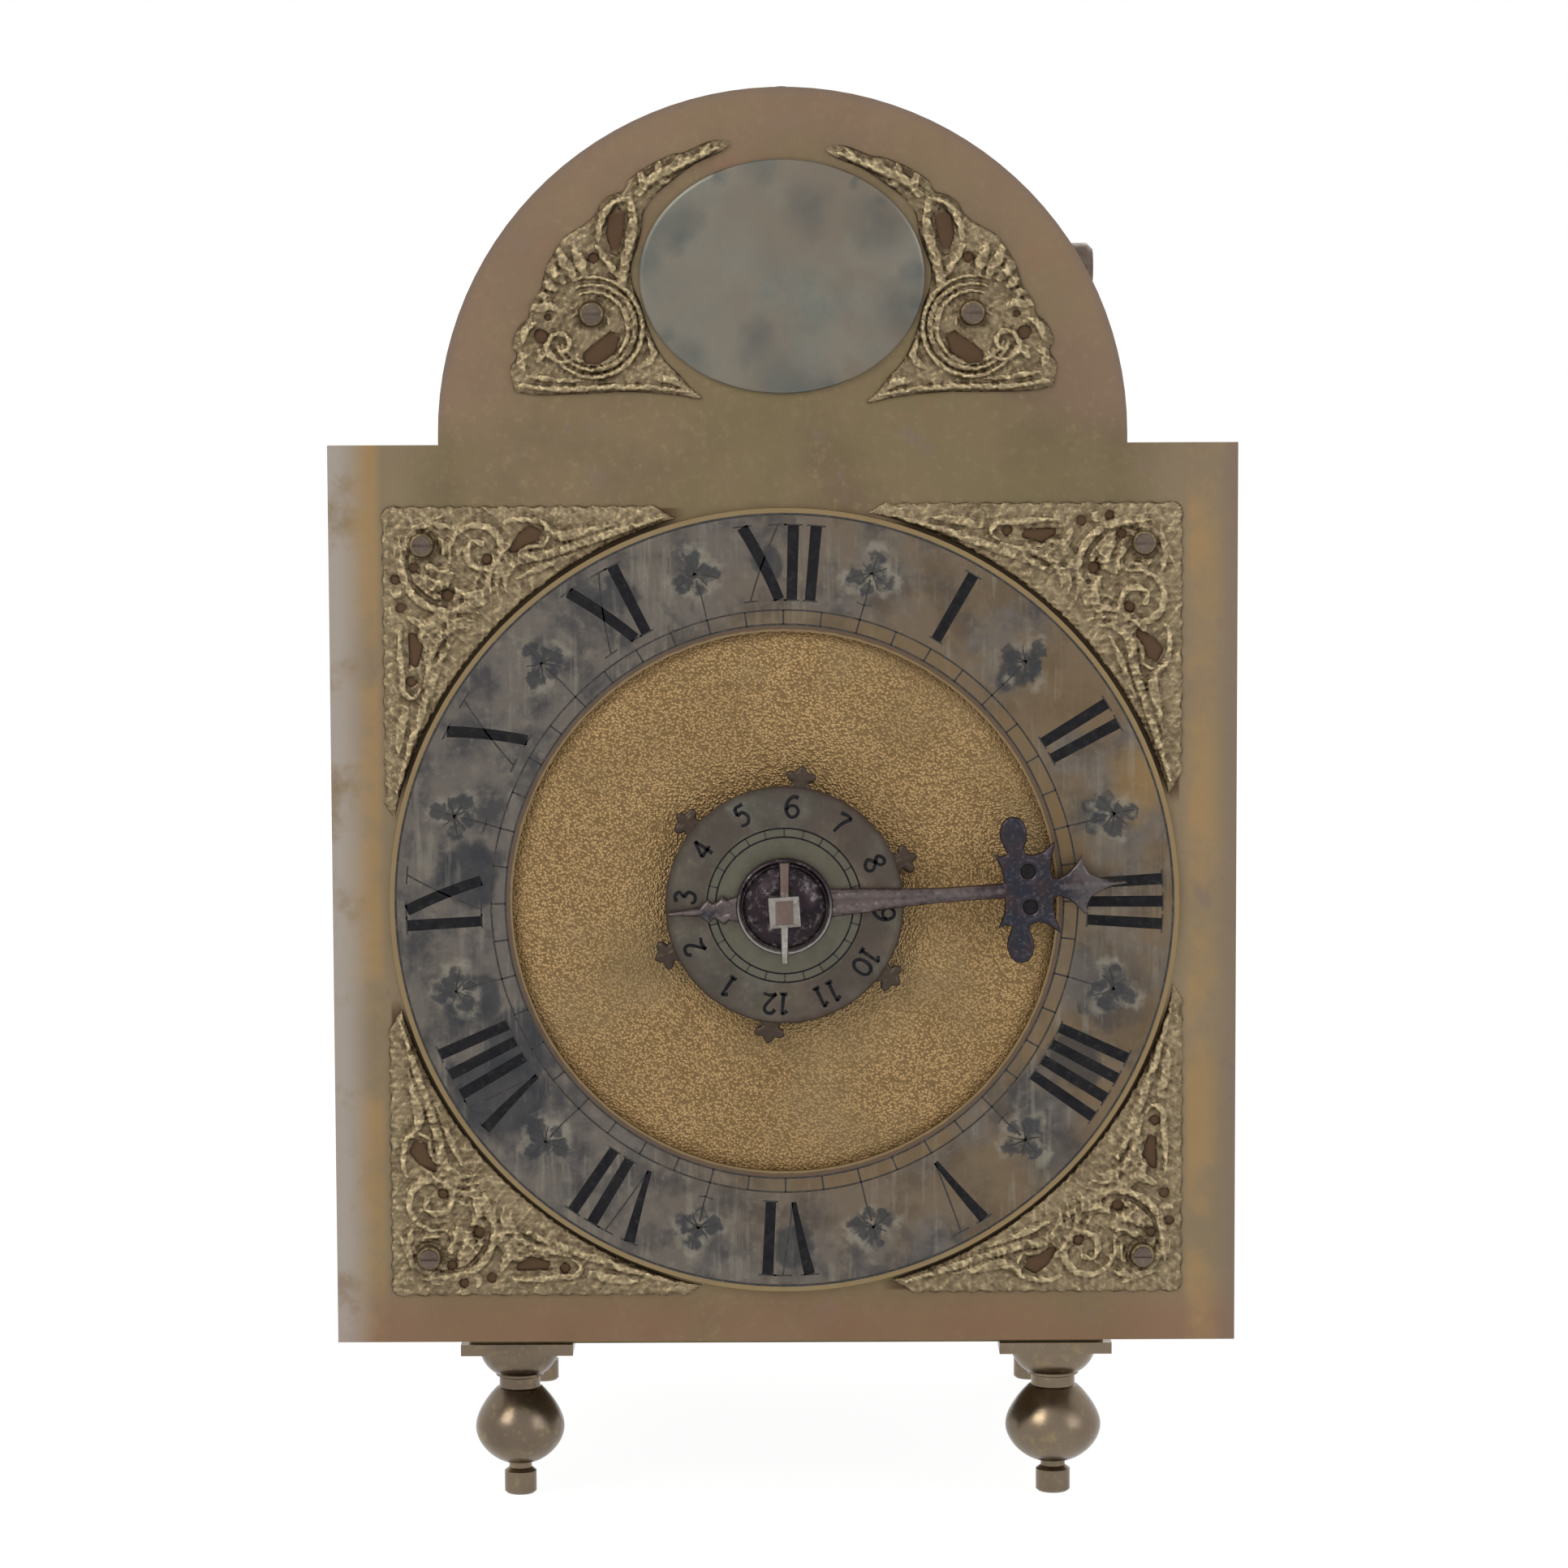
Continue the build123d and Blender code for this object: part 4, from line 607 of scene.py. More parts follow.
@dataclass(frozen=True)
class SquareEnd(Metal):
    """Filed steel whose square end is browned down the middle of its face."""

    rust: str = "#5f4c45"

    def colour(self, tree: Tree, place: Socket) -> Socket:
        """Filed steel with a browned middle at the front."""
        axes = add_node(tree, "ShaderNodeSeparateXYZ", {"Vector": place}).outputs
        wide = add_node(tree, "ShaderNodeMath", {0: axes["X"]}, operation="ABSOLUTE").outputs[0]
        middle, front = between(tree, wide, 1.9, 1.4), between(tree, axes["Y"], -84.2, -84.4)
        upper = (between(tree, axes["Z"], 116.6, 117.6), between(tree, axes["Y"], -77.0, -78.0))
        browned = tuple((*shares, 0.8, self.rust) for shares in ((middle, front), upper))
        return self.coats(tree, super().colour(tree, place), *browned)


@dataclass(frozen=True)
class HandSteel(Metal):
    """Blued steel whose arm and point have been rubbed grey-brown by setting the hand."""

    rubbed: str = "#6a5e5a"
    point: str = "#6b6461"

    def colour(self, tree: Tree, place: Socket) -> Socket:
        """Browned blue, with a rubbed arm and a paler point."""
        ring = from_axis(tree, place, *HOUR_AXIS)
        patches = self.mask(tree, place, 3.5, (0.3, 0.55))
        return self.coats(
            tree,
            super().colour(tree, place),
            (between(tree, ring, 38.5, 36.5), patches, 0.6, self.rubbed),
            (between(tree, ring, 50.5, 55.0), patches, 0.5, self.point),
        )


@dataclass(frozen=True)
class PittedBoss(Metal):
    """Pitted steel with a painted highlight along its lower rim."""

    # colour of the painted highlight on the lower rim
    rubbed: str = "#a39d99"

    def colour(self, tree: Tree, place: Socket) -> Socket:
        """Pitted violet-black, with a painted highlight: a bright line along the lower rim."""
        ring = from_axis(tree, place, *HOUR_AXIS)
        height = add_node(tree, "ShaderNodeSeparateXYZ", {"Vector": place}).outputs["Z"]
        rim = (between(tree, ring, 7.7, 8.0), between(tree, ring, 8.7, 8.4))
        low = between(tree, height, 118.0, 109.0)
        # painted highlight on the lower part of the rim
        return self.coats(tree, super().colour(tree, place), (*rim, low, 0.8, self.rubbed))


def brass_sheet() -> Metal:
    """Brass sheet, scraped and browned: ochre-grey with copper and olive clouds."""
    return DialSheet(
        "brass_sheet_aged", "#7c6c53", "#6a5a4a", "#a3916c", cloud_mm=26.0, fleck_mm=1.4, grain_mm=1.2,
        grain_depth_mm=0.03, rough=(0.42, 0.6), tarnished=0.7, brightness=0.3,
    )


def silvered_ring() -> Metal:
    """Silvered brass, the chapter ring: grey, worn to brass on the right, spotted by damp."""
    spots = (
        (-57.0, 119.0, 7.0), (-53.0, 78.0, 10.0), (-57.5, 96.0, 6.0), (-50.0, 88.0, 7.0),
        (42.0, 157.0, 4.5), (53.0, 85.0, 6.5), (57.0, 130.0, 3.0), (57.0, 95.0, 3.0),
        (1.0, 50.0, 4.0), (-3.0, 176.0, 3.5), (-30.0, 170.0, 4.0),
    )
    return RingSilver(
        "silvered_brass_worn", "#66605a", "#414042", "#8b8477", cloud_mm=8.0, fleck_mm=2.4, grain_mm=0.6,
        grain_depth_mm=0.008, rough=(0.36, 0.55), tarnished=0.9, brightness=0.4, brass="#745f42", bare=0.7,
        damp="#33363b", spots=spots,
    )


def silvered_oval() -> Metal:
    """Silvered brass, the oval: pale grey with a pinkish middle and smudges of tarnish."""
    smudges = (
        (5.0, 239.5, 6.5), (17.5, 236.5, 7.5), (20.5, 221.0, 8.0), (-17.5, 238.0, 6.0),
        (-4.0, 216.0, 6.0), (2.0, 208.0, 9.0), (-19.0, 234.0, 3.4),
    )
    turns = ((math.cos(n), math.sin(n), math.sin(5 * n)) for n in range(11))
    rim = tuple((25 * x, OVAL_CENTRE[1] + 20.3 * z, 3.8 + 2 * more) for x, z, more in turns)
    return Silvering(
        "silvered_brass_oval", "#7b776d", "#6b706a", "#8d877b", cloud_mm=15.0, fleck_mm=0.9, grain_mm=0.7,
        grain_depth_mm=0.006, rough=(0.34, 0.5), tarnished=0.85, brightness=0.2, brass="#746658", bare=0.8,
        bare_from_x_mm=-8.0, damp="#4c5353", damp_share=0.5, damp_core=0.0, spots=smudges + rim,
    )


def silvered_disc() -> Metal:
    """Silvered brass, the alarm disc: browned brass with green-grey remains of silver."""
    return AlarmSilver(
        "silvered_brass_disc", "#605e55", "#47493f", "#847f6d", cloud_mm=6.0, fleck_mm=1.1, grain_mm=0.6,
        grain_depth_mm=0.03, rough=(0.38, 0.56), tarnished=0.85, brightness=0.45, brass="#644c40", bare=0.6,
        bare_from_x_mm=-4.0,
    )


def cast_brass() -> Metal:
    """Cast and chased brass: a painted pale yellow highlight on the crests, brown grime and painted shade in
    the hollows.
    """
    return Metal(
        "cast_brass_chased", "#82735a", "#493c2b", "#c6b58f", cloud_mm=7.0, fleck_mm=0.9, grain_mm=0.5,
        grain_depth_mm=0.2, rough=(0.3, 0.5), tarnished=0.45, brightness=0.55, wear=Wear.RIDGE,
    )


def turned_brass() -> Metal:
    """Turned brass: smooth, dulled to brown-grey, gold where it is handled."""
    return Metal(
        "turned_brass_dull", "#7b6d5c", "#5d5249", "#ab9a68", cloud_mm=16.0, fleck_mm=2.0, grain_mm=2.5,
        grain_depth_mm=0.01, rough=(0.2, 0.38), tarnished=0.6, brightness=0.4, metallic=1.0,
    )


def cut_brass() -> Metal:
    """Wheel brass, filed and cut: yellower than the case, with fine file marks."""
    return Metal(
        "wheel_brass_cut", "#94793f", "#6d5733", "#c9a964", cloud_mm=12.0, fleck_mm=1.2, grain_mm=0.8,
        grain_depth_mm=0.01, rough=(0.25, 0.42), tarnished=0.5, brightness=0.4, metallic=1.0,
    )


def bell_metal() -> Metal:
    """Bell metal, cast and turned outside: a pale grey-gold bronze."""
    return Metal(
        "bell_metal_cast", "#8f8060", "#6a5d49", "#b3a27a", cloud_mm=30.0, fleck_mm=3.0, grain_mm=1.6,
        grain_depth_mm=0.02, rough=(0.26, 0.42), tarnished=0.6, brightness=0.3, metallic=1.0,
    )


def blued_steel() -> Metal:
    """Blued steel, browned with age: blue-black with purple-brown rust and small bright rubs."""
    return HandSteel(
        "blued_steel_browned", "#2b2c35", "#40302f", "#8c8584", cloud_mm=6.0, fleck_mm=0.8, grain_mm=0.6,
        grain_depth_mm=0.05, rough=(0.28, 0.46), tarnished=0.75, brightness=0.32, metallic=0.85,
        # painted highlight on the ridges of the hand, painted shade in its hollows
        wear=Wear.RIDGE,
    )


def boss_steel() -> Metal:
    """Blued steel, the turned boss: violet-black, pitted, with bright specks where the pits are rubbed."""
    return PittedBoss(
        "blued_steel_pitted", "#2d2328", "#1a1519", "#968f8c", cloud_mm=4.0, fleck_mm=1.5, grain_mm=0.9,
        grain_depth_mm=0.14, rough=(0.26, 0.44), tarnished=0.8, brightness=0.6, metallic=0.85,
    )


def filed_steel() -> Metal:
    """Filed steel: bright grey, a little brown in patches."""
    return SquareEnd(
        "steel_filed", "#96918b", "#6d5f57", "#cfcbc5", cloud_mm=6.0, fleck_mm=0.8, grain_mm=0.4,
        grain_depth_mm=0.015, rough=(0.24, 0.42), tarnished=0.5, brightness=0.5, metallic=1.0,
    )


def browned_steel() -> Metal:
    """Browned steel, screws and hammer: dull grey-brown, rubbed a little brighter on its edges."""
    return Metal(
        "steel_browned", "#665a50", "#4e433c", "#8d8379", cloud_mm=5.0, fleck_mm=0.9, grain_mm=0.7,
        grain_depth_mm=0.04, rough=(0.34, 0.55), tarnished=0.6, brightness=0.4, metallic=0.9,
    )


def forged_iron() -> Metal:
    """Forged iron: dark scale with brown rust bloom and hammer unevenness."""
    return Metal(
        "iron_forged", "#3d3a38", "#4f3a2e", "#6b6763", cloud_mm=11.0, fleck_mm=1.4, grain_mm=1.8,
        grain_depth_mm=0.12, rough=(0.42, 0.68), tarnished=0.6, brightness=0.3, metallic=0.8,
    )


def engraver_wax() -> Metal:
    """Black engraver's wax in cut lines: matt, chipped and worn thin in places."""
    return Metal(
        "engraving_wax_black", "#0d0d12", "#1a1819", "#3b3a38", cloud_mm=4.0, fleck_mm=1.0, grain_mm=0.5,
        grain_depth_mm=0.03, rough=(0.65, 0.85), tarnished=0.6, brightness=0.4, metallic=0.0, gleam=0.2,
    )


def faint_wax() -> Metal:
    """Engraver's wax almost rubbed away, so that the cut lines show grey."""
    return Metal(
        "engraving_wax_faint", "#302f2e", "#454140", "#66625c", cloud_mm=3.0, fleck_mm=0.8, grain_mm=0.5,
        grain_depth_mm=0.02, rough=(0.6, 0.8), tarnished=0.6, brightness=0.6, metallic=0.2, gleam=0.3,
    )


@dataclass
class Finishes:
    """Every material of the clock, made once."""

    sheet: Material
    ring: Material
    oval: Material
    disc: Material
    cast: Material
    turned: Material
    cut: Material
    bell: Material
    blued: Material
    boss: Material
    steel: Material
    browned: Material
    iron: Material
    wax: Material
    faint: Material

    @classmethod
    def make(cls) -> "Finishes":
        """Build the material of each finish."""
        finishes = (
            brass_sheet(), silvered_ring(), silvered_oval(), silvered_disc(), cast_brass(), turned_brass(),
            cut_brass(), bell_metal(), blued_steel(), boss_steel(), filed_steel(), browned_steel(),
            forged_iron(), engraver_wax(), faint_wax(),
        )
        return cls(*(finish.material() for finish in finishes))


# ---------------------------------------------------------------- engraving
@dataclass
class Engraver:
    """Wax-filled strokes on a face that looks to the front."""

    front_mm: float
    lift_mm: float = 0.04
    sunk_mm: float = 0.03

    def __post_init__(self) -> None:
        """Start with nothing engraved."""
        self.vertices: list[Spot] = []
        self.faces: list[tuple[int, ...]] = []

    def layers(self, points: Iterable[Point]) -> int:
        """Add each point on the surface and just above it.

        Args:
            points: Places in millimetres off the hour axis.

        Returns:
            The number of the first new corner.
        """
        first = len(self.vertices)
        for x, z in points:
            for y in (self.front_mm - self.lift_mm, self.front_mm + self.sunk_mm):
                self.vertices.append(((HOUR_AXIS[0] + x) * MM, y * MM, (HOUR_AXIS[1] + z) * MM))
        return first

    def stroke(self, line: Sequence[Point], wide: float | Sequence[float], closed: bool = False) -> None:
        """Cut a stroke along a line.

        Args:
            line: Points of its middle, in millimetres off the hour axis.
            wide: Its width, or its widths at the start and at the end.
            closed: Whether the last point joins the first.
        """
        middle = np.array(line, float)
        count = len(middle)
        ends = (wide, wide) if isinstance(wide, (int, float)) else wide
        half = np.interp(np.linspace(0, 1, count), (0, 1), ends)[:, None] / 2
        if closed:
            along = np.roll(middle, -1, 0) - np.roll(middle, 1, 0)
        else:
            along = np.gradient(middle, axis=0)
        along /= np.linalg.norm(along, axis=1)[:, None]
        side = np.stack((-along[:, 1], along[:, 0]), 1) * half
        edges = np.stack((middle + side, middle - side), 1).reshape(-1, 2)
        first = self.layers(edges)
        for n in range(count if closed else count - 1):
            a, b = first + 4 * n, first + 4 * ((n + 1) % count)
            self.faces += [(a, b, b + 2, a + 2), (a + 1, a + 3, b + 3, b + 1)]
            self.faces += [(a, a + 1, b + 1, b), (a + 2, b + 2, b + 3, a + 3)]
        if not closed:
            z = first + 4 * (count - 1)
            self.faces += [(first, first + 2, first + 3, first + 1), (z, z + 1, z + 3, z + 2)]

    def circle(self, radius: float, wide: float, count: int = 180) -> None:
        """Cut a full circle round the hour axis."""
        self.stroke([polar(radius, 360 * n / count) for n in range(count)], wide, closed=True)

    def finish(self, name: str, material: Material) -> Piece:
        """Turn what was cut into a piece whose faces point outwards."""
        piece = add_mesh(name, self.vertices, self.faces, material)
        face_out(piece)
        return piece


def face_out(piece: Piece) -> None:
    """Turn every face of a closed piece outwards."""
    work = bmesh.new()
    work.from_mesh(piece.data)
    bmesh.ops.recalc_face_normals(work, faces=work.faces)
    work.to_mesh(piece.data)
    work.free()


def divisions_tree(material: Material) -> Tree:
    """A tree that lays equal bars round a circle on the dial.

    Args:
        material: Finish of the bars.

    Returns:
        A node group with the inputs Count, Radius, Length, Width, Height and Centre.
    """
    tree = bpy.data.node_groups.new("dial_divisions", "GeometryNodeTree")
    tree.is_modifier = True
    for name, kind in (
        ("Count", "NodeSocketInt"), ("Radius", "NodeSocketFloat"), ("Length", "NodeSocketFloat"),
        ("Width", "NodeSocketFloat"), ("Height", "NodeSocketFloat"), ("Centre", "NodeSocketVector"),
    ):
        tree.interface.new_socket(name, in_out="INPUT", socket_type=kind)
    tree.interface.new_socket("Geometry", in_out="OUTPUT", socket_type="NodeSocketGeometry")
    given = add_node(tree, "NodeGroupInput").outputs
    round_dial = {"Vertices": given["Count"], "Radius": given["Radius"]}
    circle = add_node(tree, "GeometryNodeMeshCircle", round_dial)
    sizes = {"X": given["Length"], "Y": given["Width"], "Z": given["Height"]}
    size = add_node(tree, "ShaderNodeCombineXYZ", sizes).outputs[0]
    bar = add_node(tree, "GeometryNodeMeshCube", {"Size": size})
    place = add_node(tree, "GeometryNodeInputPosition").outputs[0]
    turn = add_node(tree, "FunctionNodeAlignRotationToVector", {"Vector": place}, axis="X").outputs[0]
    laid = {"Points": circle.outputs["Mesh"], "Instance": bar.outputs["Mesh"], "Rotation": turn}
    bars = add_node(tree, "GeometryNodeInstanceOnPoints", laid).outputs["Instances"]
    upright = {"Geometry": bars, "Translation": given["Centre"], "Rotation": (math.pi / 2, 0.0, 0.0)}
    stood = add_node(tree, "GeometryNodeTransform", upright).outputs["Geometry"]
    real = add_node(tree, "GeometryNodeRealizeInstances", {"Geometry": stood}).outputs["Geometry"]
    dressed = {"Geometry": real, "Material": material}
    done = add_node(tree, "GeometryNodeSetMaterial", dressed).outputs["Geometry"]
    add_node(tree, "NodeGroupOutput", {"Geometry": done})
    return tree


def divisions(
    name: str, material: Material, count: int, radius: float, length: float, wide: float, front: float
) -> Piece:
    """Lay engraved divisions round the dial.

    Args:
        name: Name of the piece.
        material: Its finish.
        count: Number of bars in the circle.
        radius: Radius of the middle of each bar, in millimetres.
        length: Length of a bar along the radius.
        wide: Width of a bar.
        front: Height along Y of the face that carries them.

    Returns:
        A plain mesh object at the origin.
    """
    tree = divisions_tree(material)
    holder = add_mesh("holder_" + name, [], [], material)
    layer = holder.modifiers.new("divisions", "NODES")
    layer.node_group = tree
    sizes = {
        "Count": count,
        "Radius": radius * MM,
        "Length": length * MM,
        "Width": wide * MM,
        "Height": BAR_HEIGHT_MM * MM,
        "Centre": (0.0, (front - BAR_RAISED_MM) * MM, HOUR_AXIS[1] * MM),
    }
    for item in tree.interface.items_tree:
        if item.in_out == "INPUT":
            layer[item.identifier] = sizes[item.name]
    shown = holder.evaluated_get(bpy.context.evaluated_depsgraph_get())
    mesh = bpy.data.meshes.new_from_object(shown)
    mesh.name = name
    bpy.data.objects.remove(holder)
    return put(name, mesh)


# ---------------------------------------------------------------- castings
@dataclass(frozen=True)
class Rib:
    """A rounded rib on a casting, along a soft line in the casting's own millimetres."""

    line: tuple[Point, ...]
    wide: float = 0.75
    high: float = 0.6
    ends: tuple[float, float] = (0.5, 0.25)

    def rise(self, where: np.ndarray, spread: float = 1.0) -> np.ndarray:
        """Height of the rib over each place.

        Args:
            where: Rows of two coordinates.
            spread: How many times its own width it takes.

        Returns:
            The height in millimetres, zero beside the rib.
        """
        line = smooth_line(self.line)
        start, run = line[:-1], np.diff(line, axis=0)
        off = where[:, None] - start[None]
        share = np.clip((off * run).sum(2) / ((run * run).sum(1) + 1e-9), 0, 1)
        gap = np.linalg.norm(off - share[..., None] * run, axis=2)
        near = gap.argmin(1)
        rows = np.arange(len(where))
        along = (near + share[rows, near]) / len(run)
        taper = np.interp(along, (0, 0.3, 0.7, 1), (self.ends[0], 1, 0.9, self.ends[1]))
        inside = np.clip(1 - (gap[rows, near] / (self.wide * spread * taper)) ** 2, 0, 1)
        return self.high * np.sqrt(taper) * np.sqrt(inside)


def polygon_depth(where: np.ndarray, corners: np.ndarray) -> np.ndarray:
    """Distance inside a closed outline, negative outside it.

    Args:
        where: Rows of two coordinates.
        corners: Rows of two coordinates round the outline.

    Returns:
        Signed distances in millimetres.
    """
    nearest = np.full(len(where), 1e9)
    inside = np.zeros(len(where), bool)
    for a, b in zip(corners, np.roll(corners, -1, 0)):
        run = b - a
        share = np.clip(((where - a) @ run) / (run @ run + 1e-12), 0, 1)
        nearest = np.minimum(nearest, np.linalg.norm(where - a - share[:, None] * run, axis=1))
        crosses = (a[1] > where[:, 1]) != (b[1] > where[:, 1])
        level = np.where(crosses, (where[:, 1] - a[1]) / (run[1] if run[1] else 1e-12), 0)
        inside ^= crosses & (where[:, 0] < a[0] + level * run[0])
    return np.where(inside, nearest, -nearest)


@dataclass
class Casting:
    """A flat-backed ornament: an outline, what is pierced through it and the ribs on it."""

    outline: np.ndarray
    ribs: tuple[Rib, ...] = ()
    holes: tuple[Spot, ...] = ()
    slots: tuple[tuple[Point, ...], ...] = ()
    pads: tuple[tuple[float, float, float, float], ...] = ()
    base: float = 1.0
    edge: float = 0.35
    edge_mm: float = 0.3
    thinnest: float = 0.35
    crumple: float = 0.3
    relief: float = 1.0
    spread: float = 1.0
    step: float = 0.3
    leafing: tuple[Point, ...] = ((3.1, 0.42), (1.8, 0.36), (1.0, 0.22))
    folds: int = 3
    sway: float = 1.1
    fold_bend: float = 1.4
    rib_plain: float = 0.85
    rib_leafed: float = 0.45
    pad_soft_mm: float = 0.5
    pad_rim_mm: float = 0.6
    unpinching: int = 6
    nudges: int = 2
    nudge_steps: float = 0.75
    probe: float = 0.04
    blur: int = 26
    ridge_gain: float = 0.7
    pad_ridge: float = 0.42
    back_ridge: float = 0.4
    crease_deg: float = 62.0
    seed: int = 3

    def depth(self, where: np.ndarray) -> np.ndarray:
        """Distance from each place to the nearest edge of the metal, negative where there is none."""
        deep = polygon_depth(where, self.outline)
        for x, z, radius in self.holes:
            deep = np.minimum(deep, np.hypot(where[:, 0] - x, where[:, 1] - z) - radius)
        for slot in self.slots:
            deep = np.minimum(deep, -polygon_depth(where, np.array(slot)))
        return deep

    def waves(self, where: np.ndarray) -> np.ndarray:
        """Crumpled leaf texture between minus one and one."""
        random = np.random.default_rng(self.seed)
        total = np.zeros(len(where))
        for size, share in self.leafing:
            for _ in range(self.folds):
                angle, phase = random.uniform(0, math.tau, 2)
                bend = np.sin(where @ random.uniform(-self.sway, self.sway, 2) + phase)
                across = where @ np.array((math.cos(angle), math.sin(angle)))
                fold = np.abs(np.sin(across * math.pi / size + self.fold_bend * bend + phase))
                total += share / self.folds * (1 - 2 * fold)
        return total

    def heights(self, where: np.ndarray, deep: np.ndarray) -> np.ndarray:
        """Height of the front over the back at each place."""
        rise = np.zeros(len(where))
        for rib in self.ribs:
            rise = np.maximum(rise, rib.rise(where, self.spread))
        waves = self.waves(where)
        leafed = self.rib_plain + self.rib_leafed * waves
        high = self.base + self.relief * rise * leafed + self.crumple * waves
        for x, z, radius, level in self.pads:
            inside = radius + self.pad_soft_mm - np.hypot(where[:, 0] - x, where[:, 1] - z)
            near = np.clip(inside / self.pad_soft_mm, 0, 1)
            high = high + (level - high) * near
        worn = 1 - self.edge * np.exp(-np.clip(deep, 0, 9) / self.edge_mm)
        return np.maximum(high * worn, self.thinnest)

    def cells(self) -> tuple[np.ndarray, np.ndarray, np.ndarray]:
        """The grid of the casting: its coordinates each way and which of its cells are metal."""
        low, high = self.outline.min(0) - self.step * 1.5, self.outline.max(0) + self.step * 1.5
        xs, zs = np.arange(low[0], high[0], self.step), np.arange(low[1], high[1], self.step)
        mx, mz = np.meshgrid(xs[:-1] + self.step / 2, zs[:-1] + self.step / 2, indexing="ij")
        kept = (self.depth(np.stack((mx.ravel(), mz.ravel()), 1)) > 0).reshape(mx.shape)
        for _ in range(self.unpinching):
            a, b, c, d = kept[:-1, :-1], kept[1:, 1:], kept[1:, :-1], kept[:-1, 1:]
            pinch = (a & b & ~c & ~d) | (~a & ~b & c & d)
            kept[:-1, :-1][pinch] = False
            kept[1:, :-1][pinch] = False
        return xs, zs, kept

    def snapped(self, where: np.ndarray, rim: np.ndarray) -> np.ndarray:
        """Move the points of the rim onto the edge of the metal."""
        moved = where.copy()
        for _ in range(self.nudges):
            here = moved[rim]
            deep = self.depth(here)
            probes = np.eye(2) * self.probe
            rises = [self.depth(here + probe) - self.depth(here - probe) for probe in probes]
            slope = np.stack(rises, 1) / (2 * self.probe)
            size = np.maximum((slope * slope).sum(1), 0.2)
            shift = -(deep / size)[:, None] * slope
            length = np.linalg.norm(shift, axis=1)[:, None]
            most = self.nudge_steps * self.step
            moved[rim] = here + shift * np.minimum(1, most / np.maximum(length, 1e-9))
        return moved

    def build(self, name: str, place: "Placing", material: Material) -> Piece:
        """Make the casting as a closed mesh with its ridges in an attribute.

        Args:
            name: Name of the piece.
            place: How its own coordinates turn into places on the clock.
            material: Its finish.

        Returns:
            The piece at the origin.
        """
        xs, zs, kept = self.cells()
        padded = np.pad(kept, 1)
        around = [padded[:-1, :-1], padded[1:, :-1], padded[:-1, 1:], padded[1:, 1:]]
        count = sum(part.astype(int) for part in around)
        used = count > 0
        number = -np.ones(used.shape, int)
        number[used] = np.arange(used.sum())
        gx, gz = np.meshgrid(xs, zs, indexing="ij")
        where = np.stack((gx[used], gz[used]), 1)
        where = self.snapped(where, (count < 4)[used])
        high = self.heights(where, self.depth(where))
        blurred = np.zeros(used.shape)
        blurred[used] = high
        weight = used.astype(float)
        for _ in range(self.blur):
            for axis in (0, 1):
                blurred = blurred + np.roll(blurred, 1, axis) + np.roll(blurred, -1, axis)
                weight = weight + np.roll(weight, 1, axis) + np.roll(weight, -1, axis)
            blurred, weight = blurred / 9 * used, weight / 9 * used
        # ridge: height over its blurred surroundings, for the painted highlight on crests and painted shade
        # in hollows
        ridge = 0.5 + self.ridge_gain * (high - blurred[used] / weight[used])
        for x, z, radius, _ in self.pads:
            ridge[np.hypot(where[:, 0] - x, where[:, 1] - z) < radius + self.pad_rim_mm] = self.pad_ridge
        total = len(where)
        i, j = np.nonzero(kept)
        corners = np.stack((number[i, j], number[i + 1, j], number[i + 1, j + 1], number[i, j + 1]), 1)
        faces = [tuple(f) for f in corners] + [tuple(f[::-1] + total) for f in corners]
        sides = ((0, 0, 1, 0, 0, -1), (1, 0, 1, 1, 1, 0), (1, 1, 0, 1, 0, 1), (0, 1, 0, 0, -1, 0))
        for ax, az, bx, bz, nx, nz in sides:
            open_side = ~padded[i + 1 + nx, j + 1 + nz]
            a = number[i[open_side] + ax, j[open_side] + az]
            b = number[i[open_side] + bx, j[open_side] + bz]
            faces += [tuple(f) for f in np.stack((b, a, a + total, b + total), 1)]
        front = place.spots(where, high)
        back = place.spots(where, np.zeros(total))
        piece = add_mesh(name, np.vstack((front, back)), faces, material)
        layer = piece.data.attributes.new("ridge", "FLOAT", "POINT")
        values = np.concatenate((ridge, np.full(total, self.back_ridge)))
        layer.data.foreach_set("value", values.astype(np.float32))
        face_out(piece)
        piece.data.shade_smooth()
        piece.data.set_sharp_from_angle(angle=math.radians(self.crease_deg))
        return piece


@dataclass(frozen=True)
class Placing:
    """How the flat coordinates of a casting turn into places on the dial, in metres."""

    back_mm: float
    origin: Point = (0.0, 0.0)
    turn_deg: float = 0.0
    mirror: Point = (1.0, 1.0)
    pivot: Point = (0.0, 0.0)

    def spots(self, where: np.ndarray, high: np.ndarray) -> np.ndarray:
        """Places of the points at a height over the back of the casting.

        Args:
            where: Rows of two coordinates of the casting.
            high: Height of each one.

        Returns:
            Rows of three coordinates in metres.
        """
        angle = math.radians(self.turn_deg)
        off = (where - np.array(self.pivot)) * np.array(self.mirror)
        x = off[:, 0] * math.cos(angle) - off[:, 1] * math.sin(angle)
        z = off[:, 0] * math.sin(angle) + off[:, 1] * math.cos(angle)
        return np.stack((self.origin[0] + x, self.back_mm - high, self.origin[1] + z), 1) * MM


